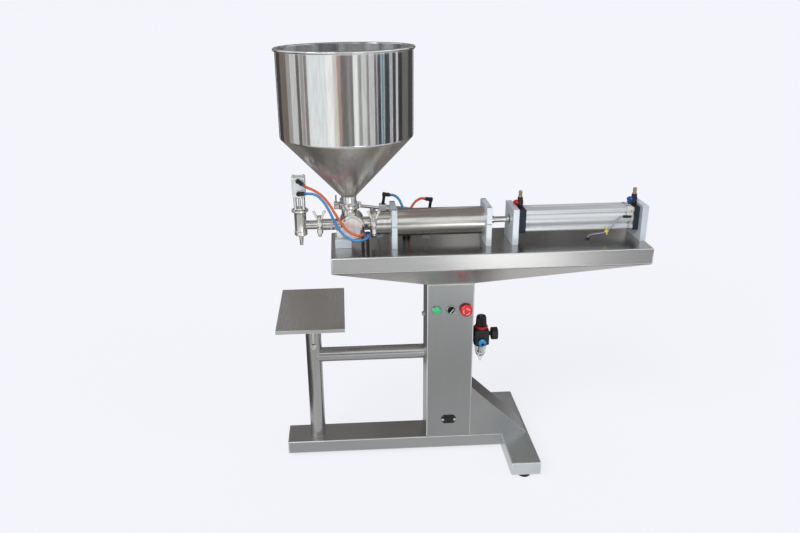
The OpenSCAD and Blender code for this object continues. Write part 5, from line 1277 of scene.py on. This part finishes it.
badge = turned((SERVICE_X, -24.6, SERVICE_Z + 36), "-y", [
    (0, 0), (9.5, 0), (9.5, 1.2), (8.8, 1.8), (0, 1.8)], 40)
collar = turned((SERVICE_X, 0, SERVICE_Z - 5), "z", [
    (19, 0), (22.6, 0), (23.4, 1), (23.4, 5.4), (19, 5.4)], 64)
dress("service_moulded", [core, shoulder, arm, back, boss, badge, collar], black_moulding,
      "service_body")
red_band = turned((SERVICE_X, 0, top + 1.2), "z", [
    (17.5, 0), (21.4, 0), (22.2, 0.8), (22.2, 7), (21, 8.4), (17.5, 8.4)], 64)
dress("service_band", red_band, red_ring)

knob = knurled(SERVICE_X, 18.4, top + 11, top + 40, ribs=30)
pull(knob, lambda point: point.z > top + 30, (0.9, 0.9, 1), (SERVICE_X, 0, 0))
crown = turned((SERVICE_X, 0, top + 39.5), "z", [
    (0, 0), (15.6, 0), (15.2, 3), (13.6, 5.4), (10, 6.5), (0, 6.9)], 64)
stem = rod((SERVICE_X, 0, top + 5), "z", 6, 6.4, 32)
dress("service_knob_ribbed", [crown, stem, knob], gloss_black, "service_knob",
      "pressure_knob")

bowl = turned((SERVICE_X, 0, SERVICE_Z - 48), "z", [
    (0, -17), (3.4, -17), (4.2, -16.2), (4.6, -9), (6, -6), (9.6, -1), (14, 7), (17, 15), (18.6, 22),
    (19.4, 30), (19.4, 46), (17, 46), (17, 30), (16.2, 22.6), (14.4, 16), (11.4, 9), (7, 2.6), (0, 1)], 64)
dress("service_bowl_blown", bowl, clear_bowl, "service_bowl")
strainer = turned((SERVICE_X, 0, SERVICE_Z - 34), "z", [
    (0, 0), (10, 0), (11, 1), (11, 4), (8, 5), (8, 24), (12, 26), (12, 30), (0, 30)], 40)
dress("service_strainer", strainer, white_plastic)

# %% Pressure gauge
low, high = box_mm("gauge")
GAUGE_Z, GAUGE_R = (low.z + high.z) / 2, (high.z - low.z) / 2
face_x, deep = high.x - 5, high.x - low.x
case = turned((low.x, 0, GAUGE_Z), "x", [
    (0, 0), (6, 0), (6, 7.6), (14, 8.4), (GAUGE_R - 1.4, 9.4), (GAUGE_R, 11), (GAUGE_R, deep - 0.8),
    (GAUGE_R - 0.8, deep), (GAUGE_R - 1.9, deep), (GAUGE_R - 2.5, deep - 1),
    (GAUGE_R - 2.5, face_x - low.x), (0, face_x - low.x)], 72)
foot = edges_rounded(rod((low.x, 0, GAUGE_Z), "x", 8, 5, 6), 0.5)
dress("gauge_moulded", [foot, case], black_moulding, "gauge")
dial = turned((face_x, 0, GAUGE_Z), "x", [(0, 0), (18, 0), (18, 0.12), (0, 0.12)], 64)
dress("gauge_dial", dial, pale_mark)
TICKS, SWEEP = 21, 270
ticks = []
for i in range(TICKS):
    turn = (i - (TICKS - 1) / 2) * SWEEP / (TICKS - 1)
    inner = 12.6 if i % 4 == 0 else 14.4
    tick = block((0, -0.35, inner), (0.22, 0.35, 16.8))
    ticks.append(placed(at((face_x, 0, GAUGE_Z), (turn, 0, 0)), tick))
dress("gauge_ticks", joined(*ticks), black_moulding)
lens_disc = turned((high.x - 1.6, 0, GAUGE_Z), "x", [
    (0, 0), (18.3, 0), (18.3, 0.8), (12, 1.1), (0, 1.2)], 64)
dress("gauge_lens", lens_disc, gauge_glass)
print("service unit dressed")

# %% [markdown]
# ## Push buttons and mains inlet
# The three controls have bright bezels on thin black seals. The start cap is slightly domed, the
# selector has a handle with a painted pointer, and the stop button is a mushroom with a broken ring of
# arrows that shows which way it unlocks.

# %% Push buttons
BUTTON_SHIFT, BUTTON_PITCH = 2, 47.5
button_xs = [COLUMN_X + BUTTON_SHIFT + i * BUTTON_PITCH for i in (-1, 0, 1)]


def in_panel(x, depth, outline, steps=64):
    """A turned piece that points at the operator, from a depth behind the column's front."""
    return turned((x, FRONT_Y + depth, BUTTON_Z), "-y", outline, steps)


bezel = [(12, 0), (14.75, 0), (14.75, 1.9), (13.9, 3.1), (12.9, 3.5), (12.2, 3.1)]
bezels = [in_panel(x, 0, bezel) for x in button_xs]
tubes = [in_panel(x, 20, [(7, 0), (11, 0), (11, 15), (7, 15)], 40) for x in button_xs]
dress("bezels_chromed", bezels, hopper_steel, "button_bezels")
seals = [in_panel(x, 0, [(12, 0), (15.6, 0), (15.6, 0.7), (12, 0.7)]) for x in button_xs]
dress("bezel_seals", [*seals, *tubes], black_moulding)
start = in_panel(button_xs[0], 12.7, [
    (0, 0), (6.7, 0), (6.7, 16), (11.6, 16), (11.7, 18.8), (11, 20.4), (9, 21.2), (5, 21.8), (0, 22)])
dress("start_cap", start, green_cap, "green_button", "start_button")

base = in_panel(button_xs[1], 15.7, [
    (0, 0), (6.7, 0), (6.7, 16), (11.6, 16), (11.7, 19), (11, 20), (0, 20)])
handle = prism([(-3.4, -11), (3.4, -11), (4, -9), (4, 9), (3.4, 11), (-3.4, 11), (-4, 9), (-4, -9)],
               4.2, -9, rounding=0.9)
pointer = block((-1.3, -9.4, -9.8), (1.3, -8.9, 9.8))
TURN = at((button_xs[1], FRONT_Y - 4.3, BUTTON_Z), (0, 40, 0))
placed(TURN, handle, pointer)
dress("selector_handle", [base, handle], gloss_black, "selector_knob", "selector")
dress("selector_pointer", pointer, pale_mark, body="selector")

mushroom = in_panel(button_xs[2], 11.7, [
    (0, 0), (6.7, 0), (6.7, 16), (10.7, 16), (10.7, 19.5), (18.6, 19.5), (20, 20.8), (20, 23.4),
    (19.2, 26.4), (17, 29), (13.4, 30.7), (8, 31.5), (0, 31.7)], 96)
dress("stop_mushroom", mushroom, red_cap, "stop_button", "stop")
arrows = []
for turn in (20, 140, 260):
    ring = arc(0, 0, 11.6, turn, turn + 62, 8) + arc(0, 0, 9.4, turn + 62, turn, 8)
    head = [(radius * math.cos(math.radians(a)), radius * math.sin(math.radians(a)))
            for radius, a in ((13.2, turn + 60), (7.8, turn + 60), (10.5, turn + 88))]
    for shape in (ring, head):
        outline = [(button_xs[2] + a, BUTTON_Z + b) for a, b in shape]
        arrows.append(prism(outline, FRONT_Y - 18.8, FRONT_Y - 19.9))
dress("stop_arrows", arrows, pink_mark, body="stop")

# %% Mains inlet
low, high = box_mm("mains_inlet")
inlet_x, _, inlet_z = middle("mains_inlet")
WIDE, TALL, CUT = 25, 15, 9
quarter = [(-WIDE, CUT - TALL), (CUT - WIDE, -TALL)]
corners = [*quarter, *[(-a, b) for a, b in quarter[::-1]]]
corners += [(-a, -b) for a, b in corners]
flange = prism([(inlet_x + a, inlet_z + b) for a, b in corners], low.y, low.y + 3.5, rounding=0.9)


def inlet_block(half_x, near, far, half_z, rounding):
    """A block round the inlet's middle, between two depths."""
    return block((inlet_x - half_x, near, inlet_z - half_z), (inlet_x + half_x, far, inlet_z + half_z),
                 rounding)


shell = inlet_block(14.5, low.y + 3, high.y, 11, 1)
rim = inlet_block(14.4, low.y - 0.8, low.y + 3, 10.4, 1.2)
housing = joined(rim, shell, flange)
bored(housing, inlet_block(12.5, low.y - 2, low.y + 17, 8.5, 1))
dress("inlet_moulded", housing, gloss_black, "mains_inlet")
pins = [block((x - 1, low.y + 3, z - 2), (x + 1, low.y + 18, z + 2), 0.4) for x, z in (
    (inlet_x - 7, inlet_z - 1), (inlet_x, inlet_z + 2), (inlet_x + 7, inlet_z - 1))]
dress("inlet_pins", pins, bright_steel)

# %% Feet and the post's welds
cross_x, cross_y = middle("cross_foot").x, box_mm("cross_foot")[1].y - 28
foot_places = ((box_mm("rubber_feet")[0].x + 20, 0), (cross_x, -cross_y), (cross_x, cross_y))
feet = [turned((x, y, 0), "z", [
    (0, 0), (18.6, 0), (20, 1.4), (19.7, 4.5), (18.4, 13), (17.4, 15), (5, 15), (5, 27), (0, 27)], 48)
    for x, y in foot_places]
dress("feet_moulded", joined(*feet), foot_rubber, "rubber_feet")
POST_X, POST_R, BRACE_R, BRACE_Z = middle("clamp_bolt").x, 25.5, 24, az + 300
circle = [(math.cos(i * math.pi / 12), math.sin(i * math.pi / 12)) for i in range(24)]
weld("weld_post", [(POST_X + POST_R * c, POST_R * s, az) for c, s in circle], closed=True)
weld("weld_brace_column", [(ax, BRACE_R * c, BRACE_Z + BRACE_R * s) for c, s in circle], closed=True)
weld("weld_brace_post", [(POST_X + math.sqrt(POST_R ** 2 - (BRACE_R * c) ** 2) + 0.4,
                          BRACE_R * c, BRACE_Z + BRACE_R * s) for c, s in circle], closed=True)
